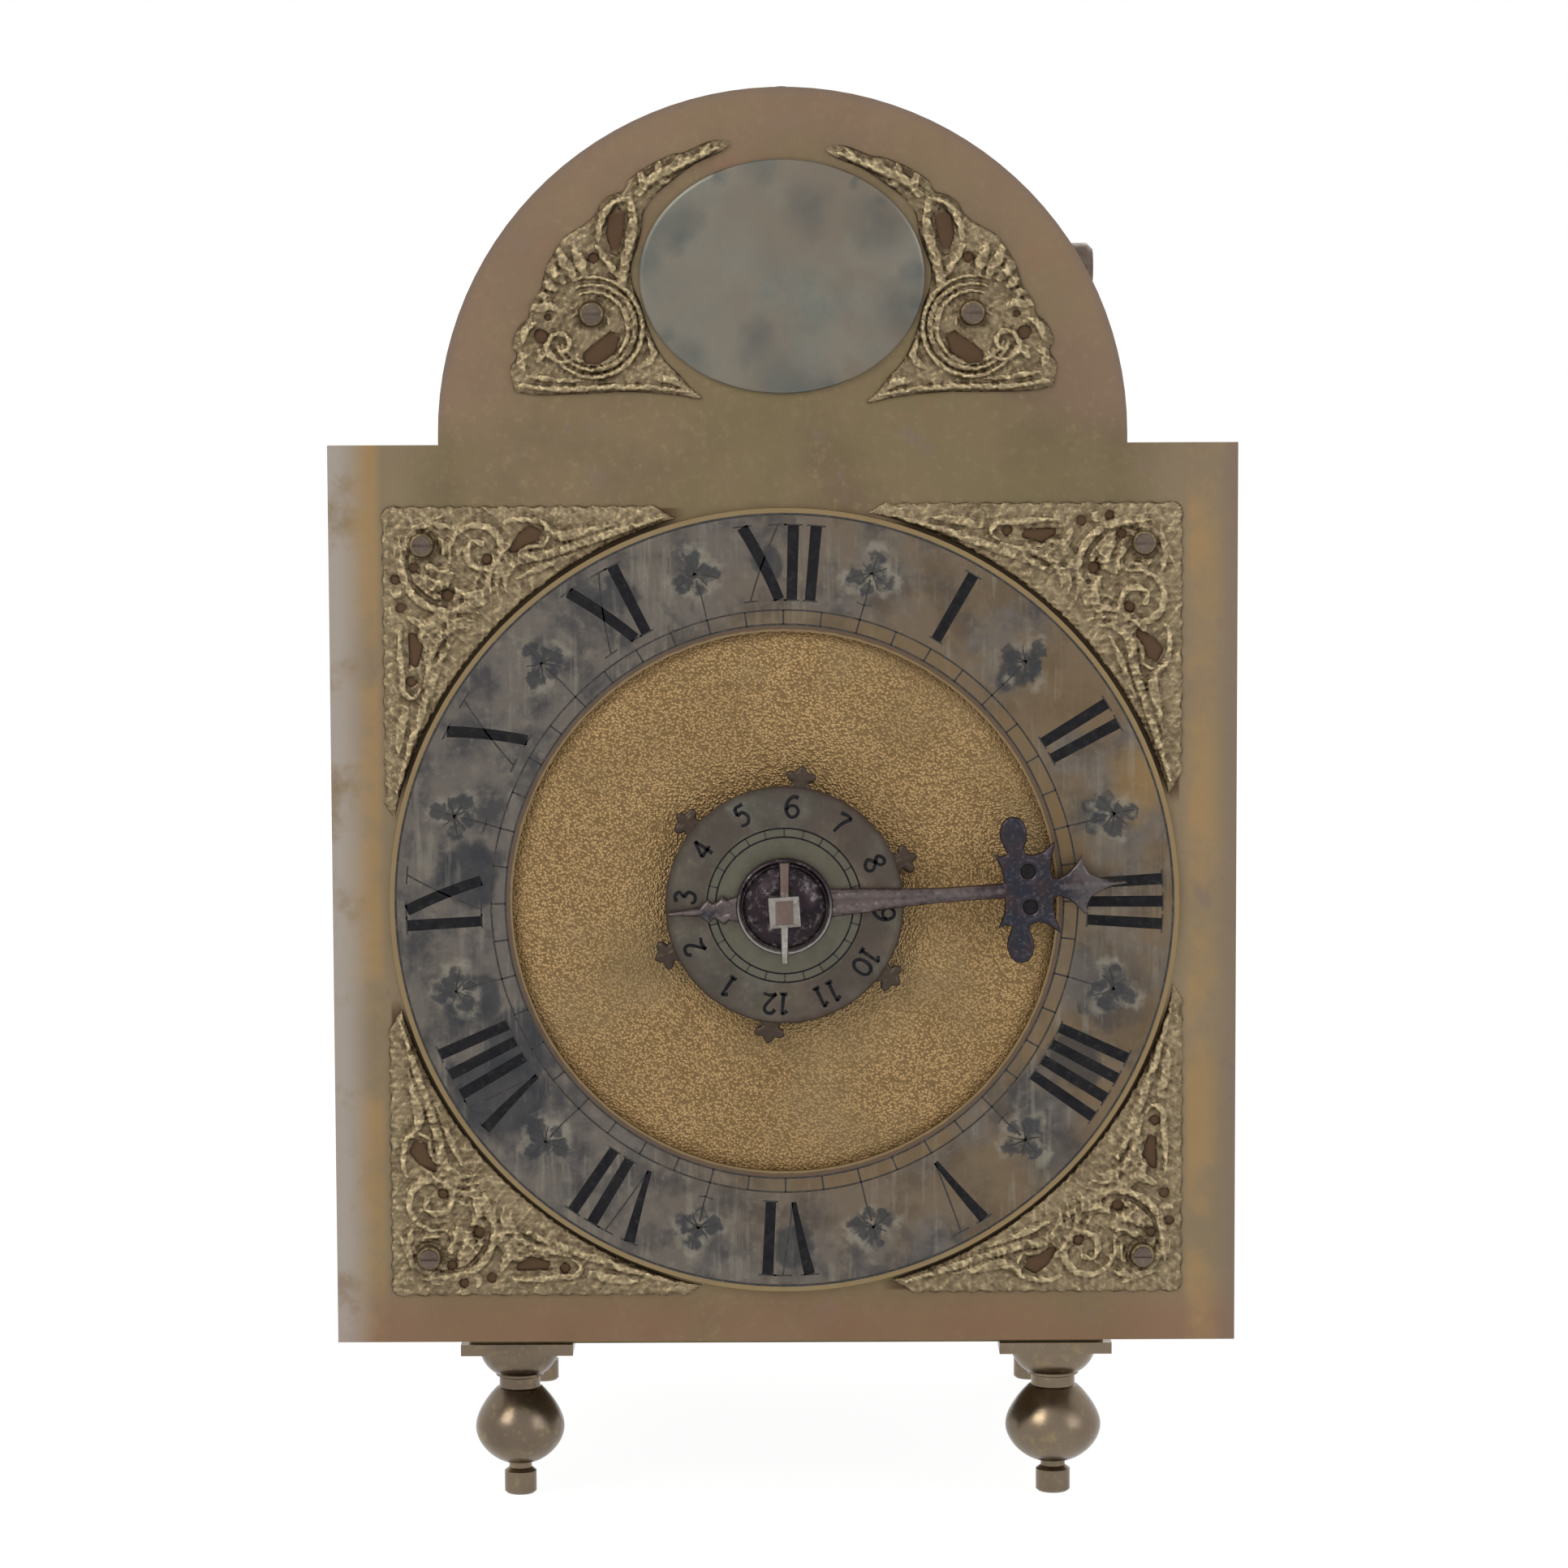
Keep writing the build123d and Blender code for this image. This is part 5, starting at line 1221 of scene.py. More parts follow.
def lathe(
    name: str,
    profile: Sequence[Point],
    axis: Point,
    material: Material,
    squash: float = 1.0,
    steps: int = 96,
) -> Piece:
    """Turn a closed profile round a line along Y.

    Args:
        name: Name of the piece.
        profile: Radius and Y of each corner, the first and last on the axis.
        axis: X and Z of the axis.
        material: Its finish.
        squash: Its height as a share of its width.
        steps: Number of faces round it.

    Returns:
        The piece at the origin.
    """
    rings = profile[1:-1]
    vertices = [(axis[0] * MM, end[1] * MM, axis[1] * MM) for end in (profile[0], profile[-1])]
    for radius, y in rings:
        for n in range(steps):
            x, z = polar(radius, 360 * n / steps)
            vertices.append(((axis[0] + x) * MM, y * MM, (axis[1] + z * squash) * MM))
    faces: list[tuple[int, ...]] = []
    last = 2 + steps * (len(rings) - 1)
    for n in range(steps):
        m = (n + 1) % steps
        faces += [(0, 2 + n, 2 + m), (1, last + m, last + n)]
        for k in range(len(rings) - 1):
            a = 2 + steps * k
            faces.append((a + n, a + steps + n, a + steps + m, a + m))
    piece = add_mesh(name, vertices, faces, material)
    face_out(piece)
    piece.data.shade_smooth()
    piece.data.set_sharp_from_angle(angle=math.radians(LATHE_CREASE_DEG))
    return piece


# ---------------------------------------------------------------- studio
@dataclass
class Studio:
    """White floor and surround, soft light, and the camera in front of the dial."""

    target_mm: Spot = (0.0, -68.0, 135.5)
    distance_mm: float = 1000.0
    height_mm: float = 241.3
    lens_mm: float = 126.7
    roll_deg: float = -0.23
    lit_m: Spot = (0.0, -0.03, 0.14)
    floor_half_m: float = 6.0

    def camera(self) -> None:
        """Stand the camera a little above the hour hand, level with the dial's middle line."""
        x, y, z = self.target_mm
        eye = Vector((x, y - self.distance_mm, self.height_mm)) * MM
        aim = Vector((x, y, z)) * MM - eye
        data = bpy.data.cameras.new("camera")
        data.lens, data.sensor_width = self.lens_mm, 36.0
        data.clip_start, data.clip_end = 0.01, 50.0
        camera = put("camera", data)
        roll = Matrix.Rotation(math.radians(self.roll_deg), 3, "Z")
        turn = aim.to_track_quat("-Z", "Y").to_matrix() @ roll
        camera.matrix_world = Matrix.Translation(eye) @ turn.to_4x4()
        bpy.context.scene.camera = camera

    def lamp(self, name: str, place: Spot, size: float, watts: float, tint: str) -> None:
        """Hang a soft square lamp that looks at the clock.

        Args:
            name: Name of the lamp.
            place: Where it hangs, in metres.
            size: Length of its side in metres.
            watts: Its power.
            tint: Its colour.
        """
        data = bpy.data.lights.new(name, "AREA")
        data.shape, data.size, data.energy = "SQUARE", size, watts
        data.color = linear(tint)[:3]
        aim = Vector(self.lit_m) - Vector(place)
        turn = aim.to_track_quat("-Z", "Y").to_matrix().to_4x4()
        put(name, data).matrix_world = Matrix.Translation(place) @ turn

    def shown(self, tree: Tree) -> Socket:
        """One for the rays that show the background: from the camera, off metal and through glass."""
        ray = add_node(tree, "ShaderNodeLightPath").outputs
        seen = ray["Is Camera Ray"]
        for kind in ("Is Glossy Ray", "Is Transmission Ray"):
            seen = add_node(tree, "ShaderNodeMath", {0: seen, 1: ray[kind]}, operation="MAXIMUM").outputs[0]
        return seen

    def world(self) -> None:
        """Pale surround: white where it is seen, softer and brighter overhead where it lights."""
        world = bpy.data.worlds.new("studio")
        bpy.context.scene.world = world
        tree = emptied(world)
        way = add_node(tree, "ShaderNodeTexCoord").outputs["Generated"]
        up = add_node(tree, "ShaderNodeSeparateXYZ", {"Vector": way}).outputs["Z"]
        span = {"Value": up, "From Min": -0.35, "From Max": 0.75, "To Min": 0.42, "To Max": 0.95}
        soft = add_node(tree, "ShaderNodeMapRange", span).outputs["Result"]
        lit = add_node(tree, "ShaderNodeBackground", {"Color": "#fbfaf8", "Strength": soft})
        white = add_node(tree, "ShaderNodeBackground", {"Color": "#ffffff", "Strength": 1.0})
        layers = {0: self.shown(tree), 1: lit.outputs[0], 2: white.outputs[0]}
        mixed = add_node(tree, "ShaderNodeMixShader", layers).outputs[0]
        add_node(tree, "ShaderNodeOutputWorld", {"Surface": mixed})

    def floor(self) -> None:
        """Lay a white floor that keeps a faint shadow."""
        white = bpy.data.materials.new("studio_floor_white")
        tree = emptied(white)
        part = {0: self.shown(tree), 1: 0.9}
        share = add_node(tree, "ShaderNodeMath", part, operation="MULTIPLY").outputs[0]
        matt = add_node(tree, "ShaderNodeBsdfDiffuse", {"Color": "#f4f4f2"})
        glow = add_node(tree, "ShaderNodeEmission", {"Color": "#ffffff", "Strength": 1.06})
        layers = {0: share, 1: matt.outputs[0], 2: glow.outputs[0]}
        mixed = add_node(tree, "ShaderNodeMixShader", layers).outputs[0]
        add_node(tree, "ShaderNodeOutputMaterial", {"Surface": mixed})
        half = self.floor_half_m
        corners = [(-half, -half, 0.0), (half, -half, 0.0), (half, half, 0.0), (-half, half, 0.0)]
        add_mesh("floor", corners, [(0, 1, 2, 3)], white)

    def build(self) -> None:
        """Set up the studio."""
        bpy.context.scene.view_settings.view_transform = "Standard"
        self.camera()
        self.world()
        self.floor()
        self.lamp("lamp_left", (-1.1, -1.3, 1.25), 0.9, 14.0, "#fffaf2")
        self.lamp("lamp_right", (1.5, -1.1, 0.75), 0.9, 6.0, "#f6f9ff")
        self.lamp("lamp_back", (0.4, 1.5, 1.4), 1.2, 10.0, "#ffffff")


# ---------------------------------------------------------------- dial
@dataclass
class ChapterRing:
    """Silvered ring with Roman hours, half-hour leaves and the quarter track."""

    front_mm: float = -69.5
    top_mm: float = 68.9
    foot_mm: float = 55.4
    thick_mm: float = 2.05
    thin_mm: float = 0.3
    border_mm: float = 70.9
    leaf_mm: float = 62.2
    track_mm: tuple[float, float] = (53.5, 50.9)
    hours: tuple[str, ...] = ("XII", "I", "II", "III", "IIII", "V", "VI", "VII", "VIII", "IX", "X", "XI")
    advance: tuple[tuple[str, float], ...] = (("I", 3.45), ("V", 5.6), ("X", 6.6))

    def radial(self, degrees: float, top: float, foot: float) -> list[Point]:
        """A line from the top of a numeral to its foot.

        Args:
            degrees: Where the hour stands, clockwise from twelve.
            top: Degrees off it at the top.
            foot: Degrees off it at the foot.

        Returns:
            Six points.
        """
        share = np.linspace(0, 1, 6)
        radii = self.top_mm + (self.foot_mm - self.top_mm) * share
        return [polar(r, 90 - degrees - top - (foot - top) * s) for r, s in zip(radii, share)]

    def letter(self, wax: Engraver, faint: Engraver, kind: str, degrees: float) -> None:
        """Engrave one letter of a numeral.

        Args:
            wax: Takes the thick strokes.
            faint: Takes the hairlines.
            kind: I, V or X.
            degrees: Where its middle stands, clockwise from twelve.
        """
        thick, slim = self.thick_mm, self.thick_mm * 0.92
        if kind == "I":
            wax.stroke(self.radial(degrees, 0, 0), (thick, slim))
            ends = (0.0,)
        elif kind == "V":
            wax.stroke(self.radial(degrees, -1.9, 0.2), (thick, 0.9))
            faint.stroke(self.radial(degrees, 2.2, 0.4), self.thin_mm)
            ends = (-1.9, 2.2)
        else:
            wax.stroke(self.radial(degrees, -2.7, 2.7), (thick, slim))
            faint.stroke(self.radial(degrees, 2.7, -2.7), self.thin_mm)
            ends = (-2.7, 2.7)
        feet = () if kind == "V" else ends
        for radius, places in ((self.top_mm + 0.1, ends), (self.foot_mm - 0.1, feet)):
            for place in places:
                arc = [polar(radius, 90 - degrees - place - d) for d in (-1.4, -0.7, 0.0, 0.7, 1.4)]
                faint.stroke(arc, self.thin_mm)

    def numeral(self, wax: Engraver, faint: Engraver, hour: int, text: str) -> None:
        """Engrave the numeral of an hour, its feet towards the middle."""
        widths = dict(self.advance)
        place = 30.0 * hour - sum(widths[kind] for kind in text) / 2
        for kind in text:
            self.letter(wax, faint, kind, place + widths[kind] / 2)
            place += widths[kind]

    def leaf(self, faint: Engraver, degrees: float, random: np.random.Generator) -> None:
        """Engrave the worn three-lobed leaf at a half hour.

        Args:
            faint: Takes the strokes.
            degrees: Where it stands, clockwise from twelve.
            random: Makes no two leaves quite alike.
        """
        angle = 90 - degrees
        size = random.uniform(0.85, 1.12)

        def spot(out: float, side: float) -> Point:
            """A place at a radius, and to the side of the leaf's line."""
            x, z = polar(out, angle)
            across = math.radians(angle - 90)
            return (x + side * math.cos(across), z + side * math.sin(across))

        veins = (
            (66.4, 0.2), (64.0, 2.6), (64.0, -2.7), (60.2, 4.2), (60.0, -4.4), (58.8, 2.2), (58.9, -2.3),
        )
        root = self.leaf_mm
        for out, side in veins:
            reach = random.uniform(0.75, 1.0)
            tip = (root + (out - root) * reach, side * reach)
            bend = spot((root + tip[0]) / 2, tip[1] * 0.6)
            faint.stroke([spot(root, 0), bend, spot(*tip)], (0.34 * size, 0.16))
        faint.stroke([spot(61.0, 0), spot(57.5, 0.15), spot(self.track_mm[0], 0)], (0.36, 0.24))
        if random.uniform() > 0.4:
            faint.stroke([spot(56.4, -1.3), spot(56.2, 0), spot(56.5, 1.4)], 0.22)

    def build(self, finishes: Finishes) -> None:
        """Dress the ring and engrave it."""
        dress(("chapter_ring",), finishes.ring)
        wax, faint, marks = (Engraver(self.front_mm) for _ in range(3))
        for hour, text in enumerate(self.hours):
            self.numeral(wax, faint, hour, text)
        random = np.random.default_rng(11)
        for half in range(12):
            self.leaf(marks, 30.0 * half + 15.0, random)
        faint.circle(self.border_mm, 0.4)
        for radius in self.track_mm:
            faint.circle(radius, 0.32)
        settle(wax.finish("hour_numerals", finishes.wax), "frame", "silvered_brass")
        settle(faint.finish("ring_hairlines", finishes.faint), "frame", "silvered_brass")
        settle(marks.finish("half_hour_leaves", finishes.faint), "frame", "silvered_brass")
        middle, length = sum(self.track_mm) / 2, self.track_mm[0] - self.track_mm[1]
        bars = divisions("quarter_divisions", finishes.faint, 48, middle, length, 0.32, self.front_mm)
        settle(bars, "frame", "silvered_brass")


@dataclass
class CornerCastings:
    """Four equal scrolled castings in the corners of the dial, each a quarter turn from the last."""

    back_mm: float = -68.0
    corner_mm: float = 73.0
    ring_mm: float = 72.7
    arms_mm: tuple[float, float] = (53.5, 57.5)
    screw_mm: float = 7.5
    names: tuple[str, ...] = (
        "spandrel_top_left", "spandrel_bottom_left", "spandrel_bottom_right", "spandrel_top_right",
    )

    def outline(self) -> np.ndarray:
        """Scalloped outer edges, and an inner edge that follows the chapter ring."""
        c, r = self.corner_mm, self.ring_mm
        first = [(a, 0.6 + 0.16 * math.sin(a * 1.9)) for a in np.arange(1.0, self.arms_mm[0] - 3, 0.7)]
        second = [(0.3 + 0.16 * math.sin(b * 1.7), b) for b in np.arange(1.4, self.arms_mm[1] - 2.5, 0.7)]
        start = math.degrees(math.acos((c - self.arms_mm[0]) / r))
        stop = math.degrees(math.asin((c - self.arms_mm[1]) / r))
        arc = [(c - x, c - z) for x, z in (polar(r, t) for t in np.linspace(start, stop, 60))]
        return np.array(first + arc + second[::-1])

    def ribs(self) -> tuple[Rib, ...]:
        """The scrolls, shells and fronds, in millimetres from the outer corner along the two arms."""
        great = spiral((12.4, 11.4), 9.2, 7.6, 262, -235, 14)
        inner = spiral((12.6, 11.0), 7.4, 5.4, 250, -255, 12)
        small = spiral((18.0, 8.6), 5.6, 1.4, 165, 480, 26)
        soft, firm, even = (0.45, 0.15), (0.6, 0.3), (0.5, 0.4)
        fans = []
        for radius in (8.9, 7.3, 5.8):
            along = spiral((27.8, 15.0), radius, radius - 0.6, -58 - 3 * radius, -118, 12)
            fans += [Rib(line, 0.75, 0.8, soft) for line in (along, tuple((b, a) for a, b in along))]
        return (
            *fans,
            Rib(great, 0.75, 0.95, (0.3, 0.4)),
            Rib(inner, 0.6, 0.75, (0.3, 0.3)),
            Rib(small, 0.7, 0.95, (0.5, 0.8)),
            Rib(((7.6, 13.2), (9.4, 14.6), (11.4, 14.2), (13.0, 12.6)), 1.3, 1.15, (0.5, 0.3)),
            Rib(((8.2, 10.6), (9.8, 12.2), (11.6, 12.0), (12.6, 10.4)), 0.9, 0.95, soft),
            Rib(((10.6, 6.4), (11.6, 8.0), (11.4, 9.6)), 0.8, 0.8, soft),
            Rib(((13.6, 15.6), (15.6, 16.4), (18.4, 16.4), (21.4, 15.0)), 1.0, 1.0, (0.5, 0.2)),
            Rib(((14.6, 18.4), (17.0, 18.2), (19.6, 17.6)), 0.8, 0.8, soft),
            Rib(((23.6, 11.0), (27.5, 9.9), (33, 8.4), (39, 6.4), (45, 4.5), (51, 2.7)), 0.8, 0.85, firm),
            Rib(((24.6, 13.6), (28.5, 11.9), (32, 10.6), (36, 8.9)), 0.6, 0.6, soft),
            Rib(((30.2, 4.6), (33, 5.9), (37, 5.2), (42, 4.0)), 0.9, 0.9, (0.7, 0.2)),
            Rib(((22.4, 3.6), (24.6, 2.9), (28.4, 3.2), (30.8, 4.8), (29.6, 7.8)), 0.55, 0.8, (0.5, 0.5)),
            Rib(((21.9, 8.6), (22.8, 11.2), (20.6, 14.2)), 0.6, 0.8, (0.4, 0.3)),
            Rib(((12.6, 24.6), (10.4, 29), (8.6, 34), (6.6, 39.5), (4.6, 45.5), (2.6, 53)), 0.8, 0.85, firm),
            Rib(((5.0, 20.6), (7.6, 21.8), (10.6, 21.8), (13.4, 20.4)), 0.85, 0.95, (0.4, 0.3)),
            Rib(((8.4, 23.6), (9.2, 26.4), (8.6, 30), (7.6, 33.4)), 0.7, 0.85, even),
            Rib(((3.6, 22.4), (3.3, 26.4), (3.6, 30), (3.9, 34), (5.6, 35.4), (7.0, 33.8)), 0.6, 0.8, even),
            Rib(((4.4, 37), (3.4, 41), (2.8, 46)), 0.85, 0.75, (0.6, 0.2)),
            Rib(((10.6, 19.4), (12.6, 22.4), (15.2, 21.6)), 0.9, 0.9, soft),
            Rib(((4.6, 4.4), (10.4, 3.9), (13.6, 4.6)), 0.6, 0.7, (0.3, 0.3)),
            Rib(((3.4, 6.2), (3.0, 9.6), (3.4, 12.2)), 0.6, 0.7, (0.3, 0.3)),
            Rib(((15.4, 4.2), (18.4, 3.9), (21.0, 5.0)), 0.6, 0.65, (0.3, 0.3)),
            Rib(((1.9, 16.2), (3.4, 16.6), (4.6, 15.4)), 0.6, 0.7, soft),
        )

    def casting(self) -> Casting:
        """The pattern that all four share."""
        holes = (
            (5.9, 11.6, 0.85), (2.5, 13.9, 0.8), (3.5, 18.9, 0.9),
            (12.1, 16.8, 1.0), (19.2, 10.1, 0.85), (5.3, 32.4, 0.85),
        )
        slots = (
            ((23.4, 8.6), (24.7, 5.8), (27.0, 4.0), (29.2, 5.1), (28.6, 6.7), (26.0, 7.7), (24.2, 9.0)),
            ((5.0, 23.4), (6.0, 23.8), (7.4, 26.0), (6.4, 29.6), (5.1, 29.4)),
        )
        pads = ((self.screw_mm, self.screw_mm, 2.0, 2.2),)
        return Casting(
            self.outline(), self.ribs(), holes, slots, pads,
            base=0.9, crumple=0.46, relief=0.95, spread=1.25, step=0.2, seed=5,
        )

    def build(self, finishes: Finishes) -> None:
        """Cast the four and let each stand for its solid."""
        pattern = self.casting()
        pivot = (self.corner_mm, self.corner_mm)
        for quarter, node in enumerate(self.names):
            place = Placing(self.back_mm, HOUR_AXIS, 90.0 * quarter, (1.0, -1.0), pivot)
            piece = pattern.build("casting_" + node.removeprefix("spandrel_"), place, finishes.cast)
            settle(piece, "frame", "cast_brass", node)


@dataclass
class ArchCastings:
    """The pair of scrolled castings in the arch, one the mirror image of the other."""

    back_mm: float = -68.0
    screw_mm: tuple[float, float] = (-34.4, 221.0)

    def outline(self) -> np.ndarray:
        """Outline of the left one, in millimetres off the middle line and over the floor."""
        corners = (
            (-48.4, 207.0), (-44.0, 206.4), (-36.0, 206.6), (-28.0, 206.9), (-20.0, 206.4), (-14.6, 205.6),
            (-16.6, 207.6), (-18.6, 210.0), (-21.2, 212.6), (-23.2, 216.0), (-24.6, 219.6), (-25.6, 223.0),
            (-26.9, 226.0), (-27.2, 229.4), (-26.0, 233.2), (-25.3, 236.2), (-24.9, 239.2), (-23.2, 241.9),
            (-20.0, 244.6), (-15.6, 247.8), (-11.0, 249.9), (-9.3, 251.6), (-12.6, 252.0), (-17.4, 250.0),
            (-19.6, 249.6), (-22.4, 248.4), (-24.6, 247.2), (-27.4, 245.2), (-28.4, 243.2), (-30.6, 242.4),
            (-32.6, 241.0), (-33.4, 239.2), (-35.2, 237.4), (-37.6, 235.9), (-39.4, 234.6), (-41.4, 231.6),
            (-42.8, 228.6), (-43.6, 225.4), (-45.4, 222.6), (-45.9, 220.4), (-47.6, 218.6), (-48.8, 215.6),
            (-48.0, 213.4), (-49.2, 211.0),
        )
        return smooth_line((*corners, corners[0]), 4)[:-1]

    def ribs(self) -> tuple[Rib, ...]:
        """The great scroll with its three lines, the shell above it, the stem and the leaf at its end."""
        centre = (-34.2, 218.4)
        lines = [
            Rib(spiral(centre, out, end, 112, -265, 18), 0.5, high, (0.5, 0.6))
            for out, end, high in ((9.3, 8.6, 0.95), (7.9, 7.3, 0.85), (6.6, 6.2, 0.75))
        ]
        shell = []
        for turn, out in ((98, 15.0), (110, 17.5), (122, 17.2), (134, 15.4), (146, 13.8), (157, 13.2)):
            line = tuple(polar(r, turn + more, centre) for r, more in ((10.0, 0), (13.0, 3), (out, 5)))
            shell.append(Rib(line, 1.0, 0.95, (0.6, 0.4)))
        soft = (0.4, 0.3)
        stem = ((-28.9, 226.4), (-28.3, 230.0), (-27.4, 234.0), (-26.8, 238.0), (-27.4, 241.6))
        frond = ((-25.8, 242.8), (-23.0, 245.4), (-19.4, 247.2), (-15.8, 248.8), (-11.4, 250.8))
        foot = ((-47.4, 208.2), (-40.0, 207.5), (-30.0, 207.9), (-22.0, 207.6), (-16.8, 206.9))
        return (
            *lines,
            *shell,
            Rib(spiral((-40.0, 215.4), 3.4, 0.7, 330, -480, 24), 0.55, 0.95, (0.5, 0.8)),
            Rib(spiral(centre, 4.2, 3.0, 150, -140, 10), 0.6, 0.7, soft),
            Rib(stem, 0.95, 1.1, (0.8, 0.6)),
            Rib(((-29.6, 227.6), (-31.4, 230.4), (-33.6, 233.4)), 0.7, 0.9, soft),
            Rib(((-33.2, 234.2), (-32.4, 238.2), (-30.2, 241.0), (-28.2, 241.6)), 0.75, 0.85, (0.5, 0.5)),
            Rib(frond, 0.9, 1.2, (0.8, 0.3)),
            Rib(((-24.8, 244.4), (-25.4, 246.0)), 0.9, 1.2, (0.8, 0.7)),
            Rib(((-22.0, 246.4), (-22.2, 248.2)), 0.8, 1.1, (0.7, 0.6)),
            Rib(((-18.8, 247.6), (-18.2, 249.4)), 0.8, 1.0, (0.7, 0.6)),
            Rib(((-21.6, 244.6), (-20.2, 244.9)), 0.7, 1.0, (0.7, 0.6)),
            Rib(((-14.6, 249.0), (-13.2, 251.2)), 0.7, 0.9, (0.7, 0.6)),
            Rib(foot, 0.55, 0.85, (0.7, 0.3)),
            Rib(((-46.0, 209.9), (-41.0, 209.2), (-36.0, 209.0)), 0.5, 0.7, (0.5, 0.3)),
            Rib(((-25.4, 211.4), (-23.2, 213.6), (-24.4, 216.8)), 0.7, 0.8, soft),
            Rib(((-22.2, 209.0), (-20.2, 209.4), (-18.4, 208.0)), 0.8, 0.95, soft),
            Rib(((-46.6, 211.0), (-47.2, 213.0), (-45.6, 214.0)), 0.8, 0.9, soft),
            Rib(((-44.2, 212.2), (-43.4, 214.0), (-44.4, 214.4)), 0.7, 0.8, soft),
            Rib(((-46.8, 216.0), (-46.2, 218.4), (-44.2, 219.6)), 0.75, 0.85, soft),
            Rib(((-44.2, 221.6), (-42.0, 222.6), (-40.4, 221.4)), 0.8, 0.9, soft),
        )

    def build(self, finishes: Finishes) -> None:
        """Cast both and let each stand for its solid."""
        holes = ((-43.6, 217.0, 1.15), (-42.3, 220.4, 0.55), (-34.0, 231.0, 0.85))
        slots = (
            (
                (-35.6, 212.2), (-33.4, 211.8), (-30.2, 214.2), (-29.4, 217.4),
                (-31.0, 217.8), (-34.0, 215.6), (-36.0, 213.8),
            ),
            (
                (-30.6, 231.8), (-29.7, 231.6), (-28.6, 235.6), (-28.3, 239.0),
                (-29.6, 240.0), (-31.2, 238.6), (-31.6, 235.2),
            ),
        )
        pads = ((*self.screw_mm, 2.0, 2.2),)
        pattern = Casting(
            self.outline(), self.ribs(), holes, slots, pads,
            base=0.9, crumple=0.44, relief=0.95, spread=1.25, step=0.2, seed=9,
        )
        for name, side, turn in (("left", 1.0, 0.0), ("right", -1.0, 2.5)):
            screw = (side * self.screw_mm[0], self.screw_mm[1])
            place = Placing(self.back_mm, screw, turn, (side, 1.0), self.screw_mm)
            piece = pattern.build("casting_arch_" + name, place, finishes.cast)
            settle(piece, "frame", "cast_brass", "arch_spandrel_" + name)


@dataclass
class NameOval:
    """Bare silvered oval in the arch, a little domed, with its rim rubbed round."""

    half_mm: Point = (25.8, 21.1)
    faces_mm: Point = (-68.0, -69.2)

    def build(self, finishes: Finishes) -> None:
        """Turn the oval and let it stand for its solid."""
        wide, (back, front) = self.half_mm[0], self.faces_mm
        profile = (
            (0, back), (wide, back), (wide, front + 0.4), (wide - 0.25, front + 0.18),
            (wide - 0.8, front + 0.09), (wide - 6, front + 0.05), (wide / 2, front + 0.02), (4.0, front),
            (0, front),
        )
        squash = self.half_mm[1] / wide
        piece = lathe("oval_name_plate", profile, OVAL_CENTRE, finishes.oval, squash, 144)
        settle(piece, "frame", "silvered_brass", "name_cartouche")


